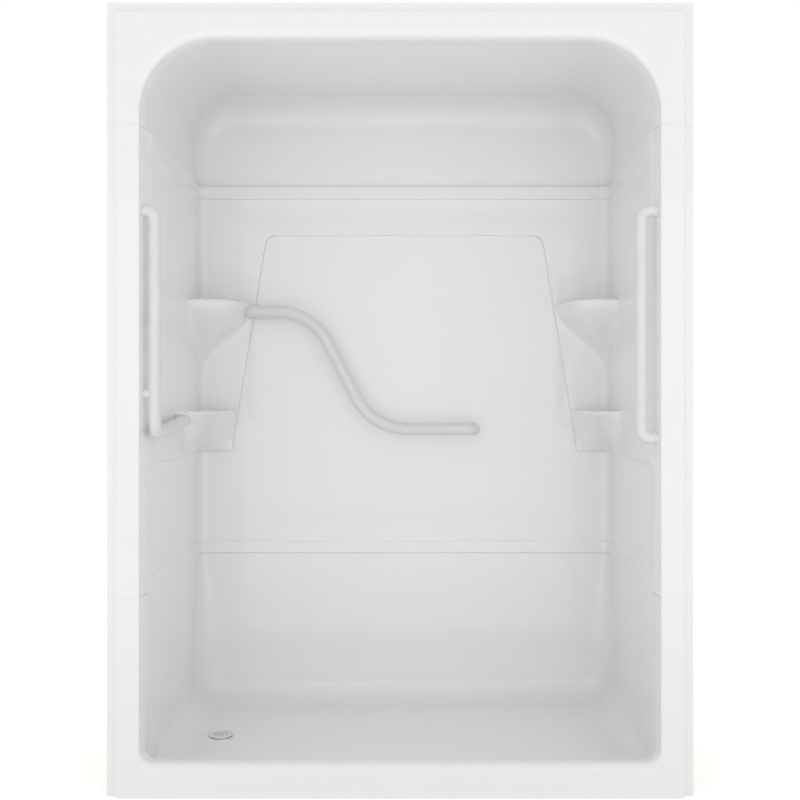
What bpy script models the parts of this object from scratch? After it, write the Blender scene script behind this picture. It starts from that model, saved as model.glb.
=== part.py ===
"""Three-piece acrylic shower module for an alcove, with an integral front frame.

A base pan, a wall surround and a roof dome lap over one another at two taped joints. Three
tubular grab bars are bolted through the walls into backing boards, and a drain is fitted in
the floor. Units are metres. X runs to the right, Y from the front to the back, Z upwards, and
the origin is at the middle of the footprint, on the floor.

Every shell is one open sheet, the surface that faces the room, given its thickness outwards.
Depths below are measured from the face of the front frame.
"""
import math

import bpy
import numpy as np
from mathutils import Vector

# Overall size
WIDTH = 1.524
HEIGHT = 2.062
DEPTH = 0.813
FRONT_Y = -DEPTH / 2
HALF_WIDTH = WIDTH / 2

# Laminate and joints
LAMINATE = 0.004
GAP = 0.0003
LAP_GAP = 0.0004
LAP_HEIGHT = 0.034
FRAME_LAP_STEP = 0.0062
FRAME_LAP_DEPTH = 0.064
PAN_LAP_STEP = 0.0042
DOME_LAP_STEP = 0.0006
JOINT_GAP_WALL = 0.003
JOINT_GAP_FACE = 0.0008
LOWER_JOINT_Z = 0.518
UPPER_JOINT_Z = 1.742
BAND_HEIGHT = 0.040
BAND_EDGE = 0.002

# Front frame, half widths from the middle
FLANGE_WIDTH = 0.025
FLANGE_SETBACK = 0.016
FACE_HALF = HALF_WIDTH - FLANGE_WIDTH
FACE_EDGE_HALF = 0.6785
FACE_DEPTH = 0.0006
JAMB_ACROSS = 0.0115
JAMB_DEPTH = 0.018
JAMB_HALF = FACE_EDGE_HALF - JAMB_ACROSS
JAMB_BACK_DEPTH = 0.050
WALL_START_DEPTH = 0.054

# Walls: the plain wall plane, and how far the bands and the raised moulding stand in from it
WALL_HALF_FRONT = 0.6672
WALL_HALF_BACK = 0.690
BACK_WALL_DEPTH = 0.780
CORNER_RADIUS = 0.032
CORNER_DEPTH = BACK_WALL_DEPTH - CORNER_RADIUS
LOWER_BAND_PROUD = 0.002
RAISED_FRONT = 0.0032
RAISED_BACK = 0.006
RAISED_PANEL = 0.008
UPPER_BAND_SIDE = 0.004
UPPER_BAND_BACK = 0.010
UPPER_BAND_RADIUS = 0.034
COVE_BOTTOM_Z = 1.655
COVE_SHARE = 0.3

# Recessed trapezoid panel in the back wall
SKIRT_Z = 0.855
SKIRT_STEP = 0.004
PANEL_TOP_Z = 1.581
PANEL_HALF_BOTTOM = 0.581
PANEL_HALF_TOP = 0.463
PANEL_CORNER_RADIUS = 0.030
PANEL_EDGE = 0.002

# Corner shelves: where the front edge leaves the side wall, and the corner of its plan
SHELF_DEPTH = 0.567
SHELF_CORNER = (0.549, 0.588)
SHELF_CORNER_RADIUS = 0.068
LOWER_SHELF_CORNER = (0.600, 0.585)
LOWER_SHELF_CORNER_RADIUS = 0.026
SHELF_RISE = 0.0015
LOWER_SHELF_Z = 0.994
UPPER_SHELF_Z = 1.350
UPPER_APRON_Z = 1.100
UPPER_APRON_BACK_Z = 1.150
UPPER_APRON_SWELL = 0.8
SHELF_EDGE = 0.008
SHELF_NOSE_DROP = 0.0025
SHELF_NOSE_SHARES = (0.02, 0.07)
BAR_RELIEF = 0.027
BAR_RELIEF_Z = 1.338
BAR_RELIEF_TOP_Z = UPPER_SHELF_Z - 0.004

# Base pan
THRESHOLD_Z = 0.088
THRESHOLD_RADIUS = 0.022
THRESHOLD_TOP_DEPTH = 0.040
THRESHOLD_FOOT_DEPTH = 0.085
OPENING_BOTTOM_RADIUS = 0.036
PAN_CORNER_RADIUS = 0.100
FLOOR_Z = 0.030
DRAIN_FLOOR_Z = 0.022
FLOOR_FALL = 0.010
PAN_BACK_RADIUS = 0.068
PAN_SIDE_RADIUS = 0.085

# Depths between which the corner radii of the pan and the dome grow to their full size
LAST_ROW_DEPTH = 0.600
CORNER_GROWTH = (0.050, LAST_ROW_DEPTH)

# Roof dome
LINTEL_Z = 1.988
LINTEL_RADIUS = 0.022
ARCH_RADIUS = 0.190
CEILING_FRONT_Z = 1.968
CEILING_BACK_Z = 2.026
DOME_BACK_CORNER = 0.150
DOME_BACK_DEPTH = 0.772
DOME_BACK_RADIUS = 0.090
DOME_SIDE_RADIUS = 0.058
DOME_JOINT_RADIUS = 0.040

# Drain, in the flat patch of the floor
DRAIN_X = -0.545
DRAIN_DEPTH = 0.425
DRAIN_PATCH = 0.045
DRAIN_HOLE_RADIUS = 0.027
DRAIN_FLANGE_RADIUS = 0.036
DRAIN_TUBE_RADIUS = 0.0255
DRAIN_BORE_RADIUS = 0.022
DRAIN_BOTTOM_Z = 0.0012
DRAIN_RIM_HEIGHT = 0.0028
DRAIN_RIM_BEVEL = 0.001
DRAIN_LEDGE_HEIGHT = 0.0008
SEAL_THICKNESS = 0.0012
FRICTION_WASHER_RADIUS = 0.035
FRICTION_WASHER_THICKNESS = 0.001
LOCKNUT_RADIUS = 0.034
LOCKNUT_HEIGHT = 0.006
THREAD_CLEARANCE = 0.0006
GASKET_BOTTOM_Z = 0.003
GASKET_TOP_Z = 0.016
GASKET_LIP_RADIUS = 0.019
STRAINER_RADIUS = 0.030
STRAINER_CLEARANCE = 0.0005
STRAINER_EDGE = 0.001
STRAINER_DOME = 0.0022
STRAINER_HOLE_RADIUS = 0.0028
STRAINER_HOLE_RINGS = ((1, 0.0), (6, 0.0095), (12, 0.019))

# Grab bars
ENTRY_BAR_RADIUS = 0.016
ENTRY_BAR_DEPTH = 0.033
ENTRY_BAR_TOP_Z = 1.524
LEFT_BAR_HALF = 0.632
LEFT_BAR_BOTTOM_Z = 0.940
LEFT_BAR_REAR_Z = 0.972
LEFT_BAR_REAR_DEPTH = 0.398
LEFT_POST_Z = 1.046
LEFT_POST_RADIUS = 0.012
RIGHT_BAR_HALF = 0.627
RIGHT_BAR_BOTTOM_Z = 0.930
ENTRY_BEND = 0.030
BACK_BAR_RADIUS = 0.019
BACK_BAR_DEPTH = 0.723
BACK_BAR_LEFT_X = -0.505
BACK_BAR_RIGHT_X = 0.232
BACK_BAR_TOP_Z = 1.322
BACK_BAR_BOTTOM_Z = 0.934
BACK_BAR_TURN_X = -0.3057
BACK_BAR_SLOPE = math.radians(62.6)
BACK_BAR_BEND = 0.188
BACK_BAR_END_BEND = 0.026
REAR_END_CLEARANCE = 0.0012

# Fasteners and what they pass through
BOLT_RADIUS = 0.004
BOLT_HOLE_RADIUS = 0.0046
BOLT_HEAD_ACROSS = 0.013
BOLT_HEAD_HEIGHT = 0.0053
BOLT_REACH = 0.020
POST_BOLT_REACH = 0.011
WASHER_RADIUS = 0.012
WASHER_THICKNESS = 0.0016
HOLE_OVERRUN = 0.004

# Backing boards, (low, high) along depth and height, and half sizes across and up
BOARD_THICKNESS = 0.015
BACK_BOARD_THICKNESS = 0.012
BOARD_CLEARANCE = 0.001
REAR_BOARD_CLEARANCE = 0.0025
JAMB_BOARD_DEPTHS = (0.020, 0.056)
LEFT_JAMB_BOARD_Z = (0.980, 1.580)
RIGHT_JAMB_BOARD_Z = (0.870, 1.580)
REAR_BOARD_HALF = (0.060, 0.070)
BACK_BOARD_HALF = (0.080, 0.060)

# Battens, tapes and pads
BATTEN_WIDTH = 0.038
BATTEN_HALF_SPACING = 0.360
BATTEN_CLEARANCE = 0.0006
BACK_BATTEN_Z = (0.565, 1.640)
ROOF_BATTEN_DEPTHS = (0.120, 0.640)
ROOF_BATTEN_HEIGHT = 0.022
TAPE_START_DEPTH = 0.100
TAPE_INSET = 0.004
PAD_HALF_X = 0.075
PAD_HALF_DEPTH = 0.055
PAD_PLACES_X = (("left", -0.330), ("middle", 0.0), ("right", 0.500))
PAD_PLACES_DEPTH = (("front", 0.220), ("rear", 0.600))

# Facets, and the rows and columns of the shells
ROUND_SIDES = 24
BAR_SIDES = 12
ARC_STEPS = 4
JAMB_STEPS = 3
APRON_STEPS = 6
DAM_STEPS = 4
PAN_SIDE_STEPS = 2
PAN_ARC_STEPS = 4
PAN_FLOOR_X = (0.0, 0.250, -DRAIN_X - DRAIN_PATCH, -DRAIN_X + DRAIN_PATCH)
PAN_FLOOR_DEPTHS = (0.240, DRAIN_DEPTH - DRAIN_PATCH, DRAIN_DEPTH + DRAIN_PATCH, LAST_ROW_DEPTH)
DOME_SIDE_STEPS = 2
DOME_ARC_STEPS = 6
DOME_CEILING_X = (0.0, 0.220)
DOME_CEILING_DEPTHS = (WALL_START_DEPTH, 0.200, 0.450, LAST_ROW_DEPTH)

WHITE = (0.86, 0.86, 0.86, 1.0)
BAR_WHITE = (0.88, 0.88, 0.88, 1.0)
TAPE_GREY = (0.55, 0.55, 0.54, 1.0)
PLY = (0.62, 0.45, 0.27, 1.0)
STEEL = (0.62, 0.62, 0.63, 1.0)
CHROME = (0.80, 0.80, 0.81, 1.0)
RUBBER = (0.05, 0.05, 0.05, 1.0)
PVC = (0.78, 0.78, 0.76, 1.0)
FOAM = (0.80, 0.80, 0.76, 1.0)


def clear_scene():
    for obj in list(bpy.data.objects):
        bpy.data.objects.remove(obj, do_unlink=True)


def material(name, colour, roughness, metallic=0.0):
    found = bpy.data.materials.new(name)
    found.use_nodes = True
    shader = found.node_tree.nodes["Principled BSDF"]
    shader.inputs["Base Color"].default_value = colour
    shader.inputs["Roughness"].default_value = roughness
    shader.inputs["Metallic"].default_value = metallic
    found.diffuse_color = colour
    return found


def add_object(name, points, faces, finish, angle=30.0):
    """A mesh object; edges sharper than the angle stay crisp."""
    mesh = bpy.data.meshes.new(name)
    mesh.from_pydata([tuple(map(float, p)) for p in points], [], faces)
    mesh.update()
    mesh.shade_smooth()
    mesh.set_sharp_from_angle(angle=math.radians(angle))
    mesh.materials.append(finish)
    obj = bpy.data.objects.new(name, mesh)
    bpy.context.collection.objects.link(obj)
    return obj


def thicken(obj):
    """Gives a sheet its laminate thickness, away from the room."""
    solid = obj.modifiers.new("laminate", "SOLIDIFY")
    solid.thickness = LAMINATE
    solid.offset = -1.0
    solid.use_even_offset = True
    solid.use_quality_normals = True


def cut(obj, cutter):
    """Cuts the object with a hidden helper."""
    boolean = obj.modifiers.new("cut_" + cutter.name, "BOOLEAN")
    boolean.operation = "DIFFERENCE"
    boolean.object = cutter
    cutter.hide_render = True
    cutter.display_type = "WIRE"


def smooth(value, low, high):
    """Eases from 0 at low to 1 at high."""
    s = min(max((value - low) / (high - low), 0.0), 1.0)
    return s * s * (3.0 - 2.0 * s)


def lerp(a, b, t):
    return a + (b - a) * t


def world(x, depth, z):
    return (x, FRONT_Y + depth, z)


def straight(start, end, steps):
    """Points from start up to, but not including, end."""
    return [tuple(np.add(start, np.subtract(end, start) * k / steps)) for k in range(steps)]


def offset_plan(points, distances):
    """Moves a plan line, drawn from left to right, towards the back of the sheet."""
    points = np.array(points)
    runs = np.diff(points, axis=0)
    runs /= np.linalg.norm(runs, axis=1)[:, None]
    normals = np.stack([-runs[:, 1], runs[:, 0]], axis=1)
    before = np.vstack([normals[:1], normals])
    after = np.vstack([normals, normals[-1:]])
    mitre = (before + after) / (1.0 + (before * after).sum(axis=1))[:, None]
    return points + mitre * np.array(distances)[:, None]


def grid_faces(rows, columns, keep=None):
    faces = []
    for i in range(rows - 1):
        for j in range(columns - 1):
            if keep is None or keep(i, j):
                a = i * columns + j
                faces.append((a, a + 1, a + columns + 1, a + columns))
    return faces


# Front frame and side walls, shared by the three sections


def quarter_turns(steps):
    """Angles from 0 to a right angle, both included."""
    return [math.radians(90.0 * k / steps) for k in range(steps + 1)]


def jamb_edge(turn, face_depth):
    """(half width, depth) on the jamb's edge, a quarter ellipse from the face to the jamb."""
    half = FACE_EDGE_HALF - JAMB_ACROSS * math.sin(turn)
    return half, face_depth + JAMB_DEPTH * (1.0 - math.cos(turn))


def frame_half(face_depth):
    """Plan of the flange, face and rounded jamb edge, from the outside inwards."""
    line = [(HALF_WIDTH, FLANGE_SETBACK), (FACE_HALF, FLANGE_SETBACK), (FACE_HALF, face_depth)]
    return line + [jamb_edge(turn, face_depth) for turn in quarter_turns(JAMB_STEPS)]


def wall_half(depth, front=WALL_HALF_FRONT, back=WALL_HALF_BACK):
    """Half width between the side walls at a depth; they open out towards the back."""
    if depth <= JAMB_BACK_DEPTH:
        return JAMB_HALF
    return lerp(front, back, (depth - WALL_START_DEPTH) / (CORNER_DEPTH - WALL_START_DEPTH))


# Wall surround


def panel_half(z):
    """Half width of the trapezoid panel at a height, with its rounded top corners."""
    share = (min(z, PANEL_TOP_Z) - SKIRT_Z) / (PANEL_TOP_Z - SKIRT_Z)
    half = lerp(PANEL_HALF_BOTTOM, PANEL_HALF_TOP, max(share, 0.0))
    rise = (min(z, PANEL_TOP_Z) - PANEL_TOP_Z) / PANEL_CORNER_RADIUS + 1.0
    if rise > 0.0:
        half -= PANEL_CORNER_RADIUS * (1.0 - math.sqrt(max(1.0 - rise * rise, 0.0)))
    return half


def surround_planes(z):
    """(half width at the front, at the back, back wall depth, corner centre) at a height."""
    lower = 1.0 if z <= LOWER_JOINT_Z + BAND_HEIGHT - BAND_EDGE / 2 else 0.0
    raised = 1.0 if z >= SKIRT_Z + SKIRT_STEP else 0.0
    upper = 1.0
    if z < UPPER_JOINT_Z - BAND_HEIGHT:
        upper = COVE_SHARE * smooth(z, COVE_BOTTOM_Z, UPPER_JOINT_Z - BAND_HEIGHT) ** 2
    front = WALL_HALF_FRONT - LOWER_BAND_PROUD * lower - RAISED_FRONT * raised - UPPER_BAND_SIDE * upper
    back = WALL_HALF_BACK - LOWER_BAND_PROUD * lower - RAISED_BACK * raised - UPPER_BAND_SIDE * upper
    depth = BACK_WALL_DEPTH - LOWER_BAND_PROUD * lower - RAISED_PANEL * raised - UPPER_BAND_BACK * upper
    centre_x = lerp(WALL_HALF_BACK - CORNER_RADIUS, back - UPPER_BAND_RADIUS, upper)
    centre_depth = lerp(CORNER_DEPTH, depth - UPPER_BAND_RADIUS, upper)
    return front, back, depth, (centre_x, centre_depth)


def corner_path(start, planes, panel_x):
    """Plain plan path from the shelf's start on the side wall, round the corner, to the panel."""
    front, back, depth, centre = planes
    tangent = (wall_half(centre[1], front, back), centre[1])
    path = straight(start, tangent, 2)
    for k in range(ARC_STEPS):
        turn = math.radians(90.0 * k / ARC_STEPS)
        across = centre[0] + (tangent[0] - centre[0]) * math.cos(turn)
        path.append((across, centre[1] + (depth - centre[1]) * math.sin(turn)))
    path += straight((centre[0], depth), (panel_x, depth), 3)
    return path + [(panel_x, depth)]


def shelf_path(start, planes, panel_x, relief, corner, radius):
    """Plan path along a shelf's front edge, round its corner and back to the panel."""
    end = np.array((panel_x + relief, planes[2]))
    start, corner = np.array(start), np.array(corner)
    to_start = (start - corner) / np.linalg.norm(start - corner)
    to_end = (end - corner) / np.linalg.norm(end - corner)
    half_angle = math.acos(float(to_start @ to_end)) / 2
    tangent = radius / math.tan(half_angle)
    bisector = (to_start + to_end) / np.linalg.norm(to_start + to_end)
    centre = corner + bisector * radius / math.sin(half_angle)
    first, last = corner + to_start * tangent - centre, corner + to_end * tangent - centre
    path = straight(start, centre + first, 2)
    sweep = math.pi - 2 * half_angle
    for k in range(ARC_STEPS):
        turn = sweep * k / ARC_STEPS
        arc = (first * math.sin(sweep - turn) + last * math.sin(turn)) / math.sin(sweep)
        path.append(tuple(centre + arc))
    path += straight(centre + last, end, 2)
    return path + [tuple(end), (panel_x, planes[2])]


def shelf_growth(z):
    """(share of the shelf at the side wall, at the back wall, which shelf) at a height."""
    apron_bottom = SKIRT_Z + SKIRT_STEP
    if apron_bottom < z <= LOWER_SHELF_Z:
        grown = min((z - apron_bottom) / (LOWER_SHELF_Z - SHELF_EDGE - apron_bottom), 1.0)
        return (grown,) * 2 + ("lower",)
    if UPPER_APRON_Z < z <= UPPER_SHELF_Z:
        top = UPPER_SHELF_Z - SHELF_EDGE
        side = min((z - UPPER_APRON_Z) / (top - UPPER_APRON_Z), 1.0) ** UPPER_APRON_SWELL
        return side, smooth(z, UPPER_APRON_BACK_Z, top), "upper"
    return 0.0, 0.0, "lower"


def surround_half(z, pulled=0.0):
    """Half plan of the surround at a height, from the flange to the middle of the back wall."""
    planes = surround_planes(z)
    front, back, depth, centre = planes
    in_band = z <= LOWER_JOINT_Z + BAND_HEIGHT - BAND_EDGE / 2 or z >= UPPER_JOINT_Z - BAND_HEIGHT
    line = frame_half(0.0 if in_band else FACE_DEPTH)
    line += [(JAMB_HALF, JAMB_BACK_DEPTH), (front, WALL_START_DEPTH)]
    start = (wall_half(SHELF_DEPTH, front, back), SHELF_DEPTH)
    panel_x = panel_half(z)
    plain = corner_path(start, planes, panel_x)
    side, rear, which = shelf_growth(z)
    if which == "upper":
        relief = BAR_RELIEF * (1.0 - smooth(z, BAR_RELIEF_Z, BAR_RELIEF_TOP_Z))
        shelf = shelf_path(start, planes, panel_x, relief, SHELF_CORNER, SHELF_CORNER_RADIUS)
    else:
        shelf = shelf_path(start, planes, panel_x, 0.0, LOWER_SHELF_CORNER, LOWER_SHELF_CORNER_RADIUS)
    for k, (a, b) in enumerate(zip(plain, shelf)):
        grown = lerp(side, rear, k / (len(plain) - 1)) * (1.0 - pulled)
        line.append((lerp(a[0], b[0], grown), lerp(a[1], b[1], grown)))
    recess = RAISED_PANEL if SKIRT_Z + SKIRT_STEP <= z <= PANEL_TOP_Z else 0.0
    line.append((panel_x - PANEL_EDGE, depth + recess))
    line.append((0.0, depth + recess))
    return line


def mirrored(half):
    """The full plan line, left to right, from its right half."""
    return [(-x, depth) for x, depth in half] + list(reversed(half[:-1]))


def shelf_nose(top):
    """(height, share pulled back) of a shelf's rounded edge, its top and the wall's foot above it."""
    lower, upper = SHELF_NOSE_SHARES
    return [(top - SHELF_NOSE_DROP, lower), (top, upper), (top + SHELF_RISE, 0.0)]


def surround_levels():
    """(height, share pulled back) of each row of the surround, bottom to top."""
    band_top = LOWER_JOINT_Z + BAND_HEIGHT
    apron = SKIRT_Z + SKIRT_STEP
    heights = [LOWER_JOINT_Z, band_top - BAND_EDGE, band_top, SKIRT_Z, apron]
    heights += [lerp(apron, LOWER_SHELF_Z - SHELF_EDGE, k / 3) for k in range(1, 4)]
    levels = [(z, 0.0) for z in heights] + shelf_nose(LOWER_SHELF_Z)
    heights = [lerp(UPPER_APRON_Z, BAR_RELIEF_Z, k / APRON_STEPS) for k in range(APRON_STEPS + 1)]
    heights.append(UPPER_SHELF_Z - SHELF_EDGE)
    levels += [(z, 0.0) for z in heights] + shelf_nose(UPPER_SHELF_Z)
    rounded = PANEL_TOP_Z - PANEL_CORNER_RADIUS
    heights = [rounded + PANEL_CORNER_RADIUS * math.sin(turn) for turn in quarter_turns(3)]
    band = UPPER_JOINT_Z - BAND_HEIGHT
    heights += [PANEL_TOP_Z + PANEL_EDGE, COVE_BOTTOM_Z, lerp(COVE_BOTTOM_Z, band, 0.6)]
    heights += [band - BAND_EDGE, band, UPPER_JOINT_Z]
    return levels + [(z, 0.0) for z in heights]


def build_wall_surround(finish):
    rows = []
    for z, pulled in surround_levels():
        rows.append([world(x, depth, z) for x, depth in mirrored(surround_half(z, pulled))])
    points = [p for row in rows for p in row]
    obj = add_object("wall_surround", points, grid_faces(len(rows), len(rows[0])), finish)
    thicken(obj)
    return obj


# Base pan


def pan_floor_z(x, depth):
    """Height of the pan floor, which falls to the flat patch round the drain."""
    reach = math.hypot(x - DRAIN_X, depth - DRAIN_DEPTH) - DRAIN_PATCH * math.sqrt(2.0)
    return DRAIN_FLOOR_Z + FLOOR_FALL * max(reach, 0.0)


def pan_contour(half, bottom, radius, top):
    """Right half of a front-view U: floor outwards, corner arc, then up the side.

    Gives (x, z, inward normal, share up the side) for each station.
    """
    scale = min(1.0, (half - radius) / PAN_FLOOR_X[-1])
    stations = [(x * scale, bottom, (0.0, 1.0), 0.0) for x in PAN_FLOOR_X]
    for turn in quarter_turns(PAN_ARC_STEPS):
        x = half - radius + radius * math.sin(turn)
        z = bottom + radius - radius * math.cos(turn)
        stations.append((x, z, (-math.sin(turn), math.cos(turn)), turn / math.radians(90.0)))
    for k in range(1, PAN_SIDE_STEPS + 1):
        z = lerp(bottom + radius, top, k / PAN_SIDE_STEPS)
        stations.append((half, z, (-1.0, 0.0), 1.0 + k / PAN_SIDE_STEPS))
    return stations


def pan_outer_row(half, depth, top):
    """Outer edge of the face: along the bottom to the square corner, then up the side."""
    corner_run = FACE_HALF - FACE_EDGE_HALF + OPENING_BOTTOM_RADIUS
    corner_rise = THRESHOLD_Z + OPENING_BOTTOM_RADIUS
    middle = PAN_ARC_STEPS // 2
    stations = [(x, depth, 0.0) for x in PAN_FLOOR_X]
    for k in range(middle + 1):
        stations.append((lerp(half - corner_run, half, k / middle), depth, 0.0))
    for k in range(1, middle + 1):
        stations.append((half, depth, corner_rise * k / middle))
    for k in range(1, PAN_SIDE_STEPS + 1):
        stations.append((half, depth, lerp(corner_rise, top, k / PAN_SIDE_STEPS)))
    return stations


def pan_frame_rows():
    """Right half rows of the pan's flange, face and rounded front edge."""
    top = LOWER_JOINT_Z - JOINT_GAP_FACE
    rows = [pan_outer_row(HALF_WIDTH, FLANGE_SETBACK, top), pan_outer_row(FACE_HALF, FLANGE_SETBACK, top)]
    rows.append(pan_outer_row(FACE_HALF, FACE_DEPTH, top))
    for turn in quarter_turns(JAMB_STEPS):
        half, side_depth = jamb_edge(turn, FACE_DEPTH)
        bottom = THRESHOLD_Z - THRESHOLD_RADIUS * (1.0 - math.sin(turn))
        floor_depth = FACE_DEPTH + THRESHOLD_RADIUS * (1.0 - math.cos(turn))
        radius = OPENING_BOTTOM_RADIUS + half - JAMB_HALF
        row = []
        for x, z, _, up in pan_contour(half, bottom, radius, top):
            row.append((x, lerp(floor_depth, side_depth, min(up, 1.0)), z))
        rows.append(row)
    return rows


def pan_rows(side):
    """Half rows of the pan, from the flange to the back wall.

    Both halves are written to the right of the middle; side is 1 for the right half and -1 for
    the left one, whose floor falls to the drain.
    """
    rows = pan_frame_rows()
    levels = []
    for k in range(DAM_STEPS + 1):
        depth = lerp(THRESHOLD_TOP_DEPTH, THRESHOLD_FOOT_DEPTH, k / DAM_STEPS)
        levels.append((depth, lerp(THRESHOLD_Z, FLOOR_Z, smooth(k, 0, DAM_STEPS))))
    levels += [(depth, FLOOR_Z) for depth in PAN_FLOOR_DEPTHS]
    for depth, bottom in levels:
        radius = lerp(OPENING_BOTTOM_RADIUS, PAN_CORNER_RADIUS, smooth(depth, *CORNER_GROWTH))
        row = []
        for x, z, _, up in pan_contour(wall_half(depth), bottom, radius, LOWER_JOINT_Z - JOINT_GAP_WALL):
            if bottom <= FLOOR_Z and up < 1.0:
                z += (pan_floor_z(side * x, depth) - FLOOR_Z) * (1.0 - up)
            row.append((x, depth, z))
        rows.append(row)
    return rows + pan_back_rows(side)


def pan_back_rows(side):
    """Rows that turn the floor and the sides up into the back wall."""
    rows = []
    top = LOWER_JOINT_Z - JOINT_GAP_WALL
    for turn in quarter_turns(ARC_STEPS):
        row = []
        for x, z, normal, up in pan_contour(WALL_HALF_BACK, FLOOR_Z, PAN_CORNER_RADIUS, top):
            if up <= 1.0:
                radius = lerp(PAN_BACK_RADIUS, PAN_SIDE_RADIUS, up)
            else:
                radius = lerp(PAN_SIDE_RADIUS, CORNER_RADIUS, up - 1.0)
            depth = BACK_WALL_DEPTH - radius * (1.0 - math.sin(turn))
            if up > 1.0 and turn == 0.0:
                x = wall_half(BACK_WALL_DEPTH - radius)
            inwards = radius * (1.0 - math.cos(turn))
            z += normal[1] * inwards
            if up < 1.0:
                z += (pan_floor_z(side * x, depth) - FLOOR_Z) * (1.0 - up) * math.cos(turn)
            row.append((x + normal[0] * inwards, depth, z))
        rows.append(row)
    return rows


def both_halves(right, left=None):
    """A full front-view row from its right half and the left one's mirror image, if that differs.

    Both start at the middle.
    """
    return [(-x, depth, z) for x, depth, z in reversed((left or right)[1:])] + list(right)


def lap_strip(points, edge, lap_end, wall_step, flip):
    """Steps a section's edge behind the band and carries it past the joint.

    Adds two rings of points after the edge, and returns the faces between them.
    """
    plan = [(points[k][0], points[k][1] - FRONT_Y) for k in edge]
    last = len(edge) - 1
    steps = [FRAME_LAP_STEP if depth < FRAME_LAP_DEPTH else wall_step for _, depth in plan]
    moved = offset_plan(plan, steps)
    ledge, end = [], []
    for k, (x, depth) in enumerate(moved):
        ledge.append(len(points))
        points.append(world(x, depth, points[edge[k]][2]))
    for x, depth in moved:
        end.append(len(points))
        points.append(world(x, depth, lap_end))
    faces = []
    for lower, upper in ((edge, ledge), (ledge, end)):
        for k in range(last):
            face = (lower[k], lower[k + 1], upper[k + 1], upper[k])
            faces.append(face[::-1] if flip else face)
    return faces


def build_base_pan(finish):
    rows = [both_halves(right, left) for right, left in zip(pan_rows(1.0), pan_rows(-1.0))]
    columns = len(rows[0])
    points = [world(*p) for row in rows for p in row]
    corner = len(PAN_FLOOR_X) + PAN_ARC_STEPS // 2
    middle = columns // 2

    def keep(i, j):
        on_side = max(abs(j - middle), abs(j + 1 - middle)) > corner
        return i >= 2 or on_side

    faces = grid_faces(len(rows), columns, keep)
    last_row = (len(rows) - 1) * columns
    faces.append(tuple(last_row + j for j in range(columns)))
    left = [i * columns for i in range(len(rows))]
    right = [i * columns + columns - 1 for i in reversed(range(len(rows)))]
    lap_end = LOWER_JOINT_Z + LAP_HEIGHT
    faces += lap_strip(points, left + right, lap_end, PAN_LAP_STEP, False)
    used = sorted({k for face in faces for k in face})
    index = {k: n for n, k in enumerate(used)}
    faces = [tuple(index[k] for k in face) for face in faces]
    obj = add_object("base_pan", [points[k] for k in used], faces, finish)
    thicken(obj)
    return obj


# Roof dome


def dome_contour(half, ceiling, radius, bottom):
    """Right half of a front-view arch: ceiling outwards, corner arc, then down the side.

    Gives (x, z, inward normal, share down the side) for each station.
    """
    stations = [(x, ceiling, (0.0, -1.0), 0.0) for x in DOME_CEILING_X]
    for turn in quarter_turns(DOME_ARC_STEPS):
        x = half - radius + radius * math.sin(turn)
        z = ceiling - radius + radius * math.cos(turn)
        stations.append((x, z, (-math.sin(turn), -math.cos(turn)), turn / math.radians(90.0)))
    start = ceiling - radius
    for k in range(1, DOME_SIDE_STEPS + 1):
        z = lerp(start, bottom, k / DOME_SIDE_STEPS)
        stations.append((half, z, (-1.0, 0.0), 1.0 + k / DOME_SIDE_STEPS))
    return stations


def dome_outer_row(half, top, depth, bottom):
    """Outer edge of the face or the flange, out to the square corner and down."""
    run = half - FACE_EDGE_HALF + ARCH_RADIUS
    drop = top - LINTEL_Z + ARCH_RADIUS
    middle = DOME_ARC_STEPS // 2
    stations = [(x, depth, top) for x in DOME_CEILING_X]
    for k in range(middle + 1):
        stations.append((lerp(half - run, half, k / middle), depth, top))
    for k in range(1, middle + 1):
        stations.append((half, depth, top - drop * k / middle))
    for k in range(1, DOME_SIDE_STEPS + 1):
        stations.append((half, depth, lerp(top - drop, bottom, k / DOME_SIDE_STEPS)))
    return stations


def ceiling_z(depth):
    """Height of the ceiling, which rises from the lintel to the back fillet."""
    end = DOME_BACK_DEPTH - DOME_BACK_RADIUS
    return lerp(CEILING_FRONT_Z, CEILING_BACK_Z, (depth - WALL_START_DEPTH) / (end - WALL_START_DEPTH))


def dome_frame_rows():
    """Right half rows of the dome's flange, face and rounded front edge."""
    bottom = UPPER_JOINT_Z + JOINT_GAP_FACE
    face_top = HEIGHT - FLANGE_WIDTH
    rows = [dome_outer_row(HALF_WIDTH, HEIGHT, FLANGE_SETBACK, bottom)]
    rows.append(dome_outer_row(FACE_HALF, face_top, FLANGE_SETBACK, bottom))
    rows.append(dome_outer_row(FACE_HALF, face_top, FACE_DEPTH, bottom))
    for turn in quarter_turns(JAMB_STEPS):
        half, side_depth = jamb_edge(turn, FACE_DEPTH)
        top = LINTEL_Z - LINTEL_RADIUS * math.sin(turn)
        lintel_depth = FACE_DEPTH + LINTEL_RADIUS * (1.0 - math.cos(turn))
        row = []
        for x, z, _, down in dome_contour(half, top, ARCH_RADIUS, bottom):
            row.append((x, lerp(lintel_depth, side_depth, min(down, 1.0)), z))
        rows.append(row)
    return rows


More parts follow.
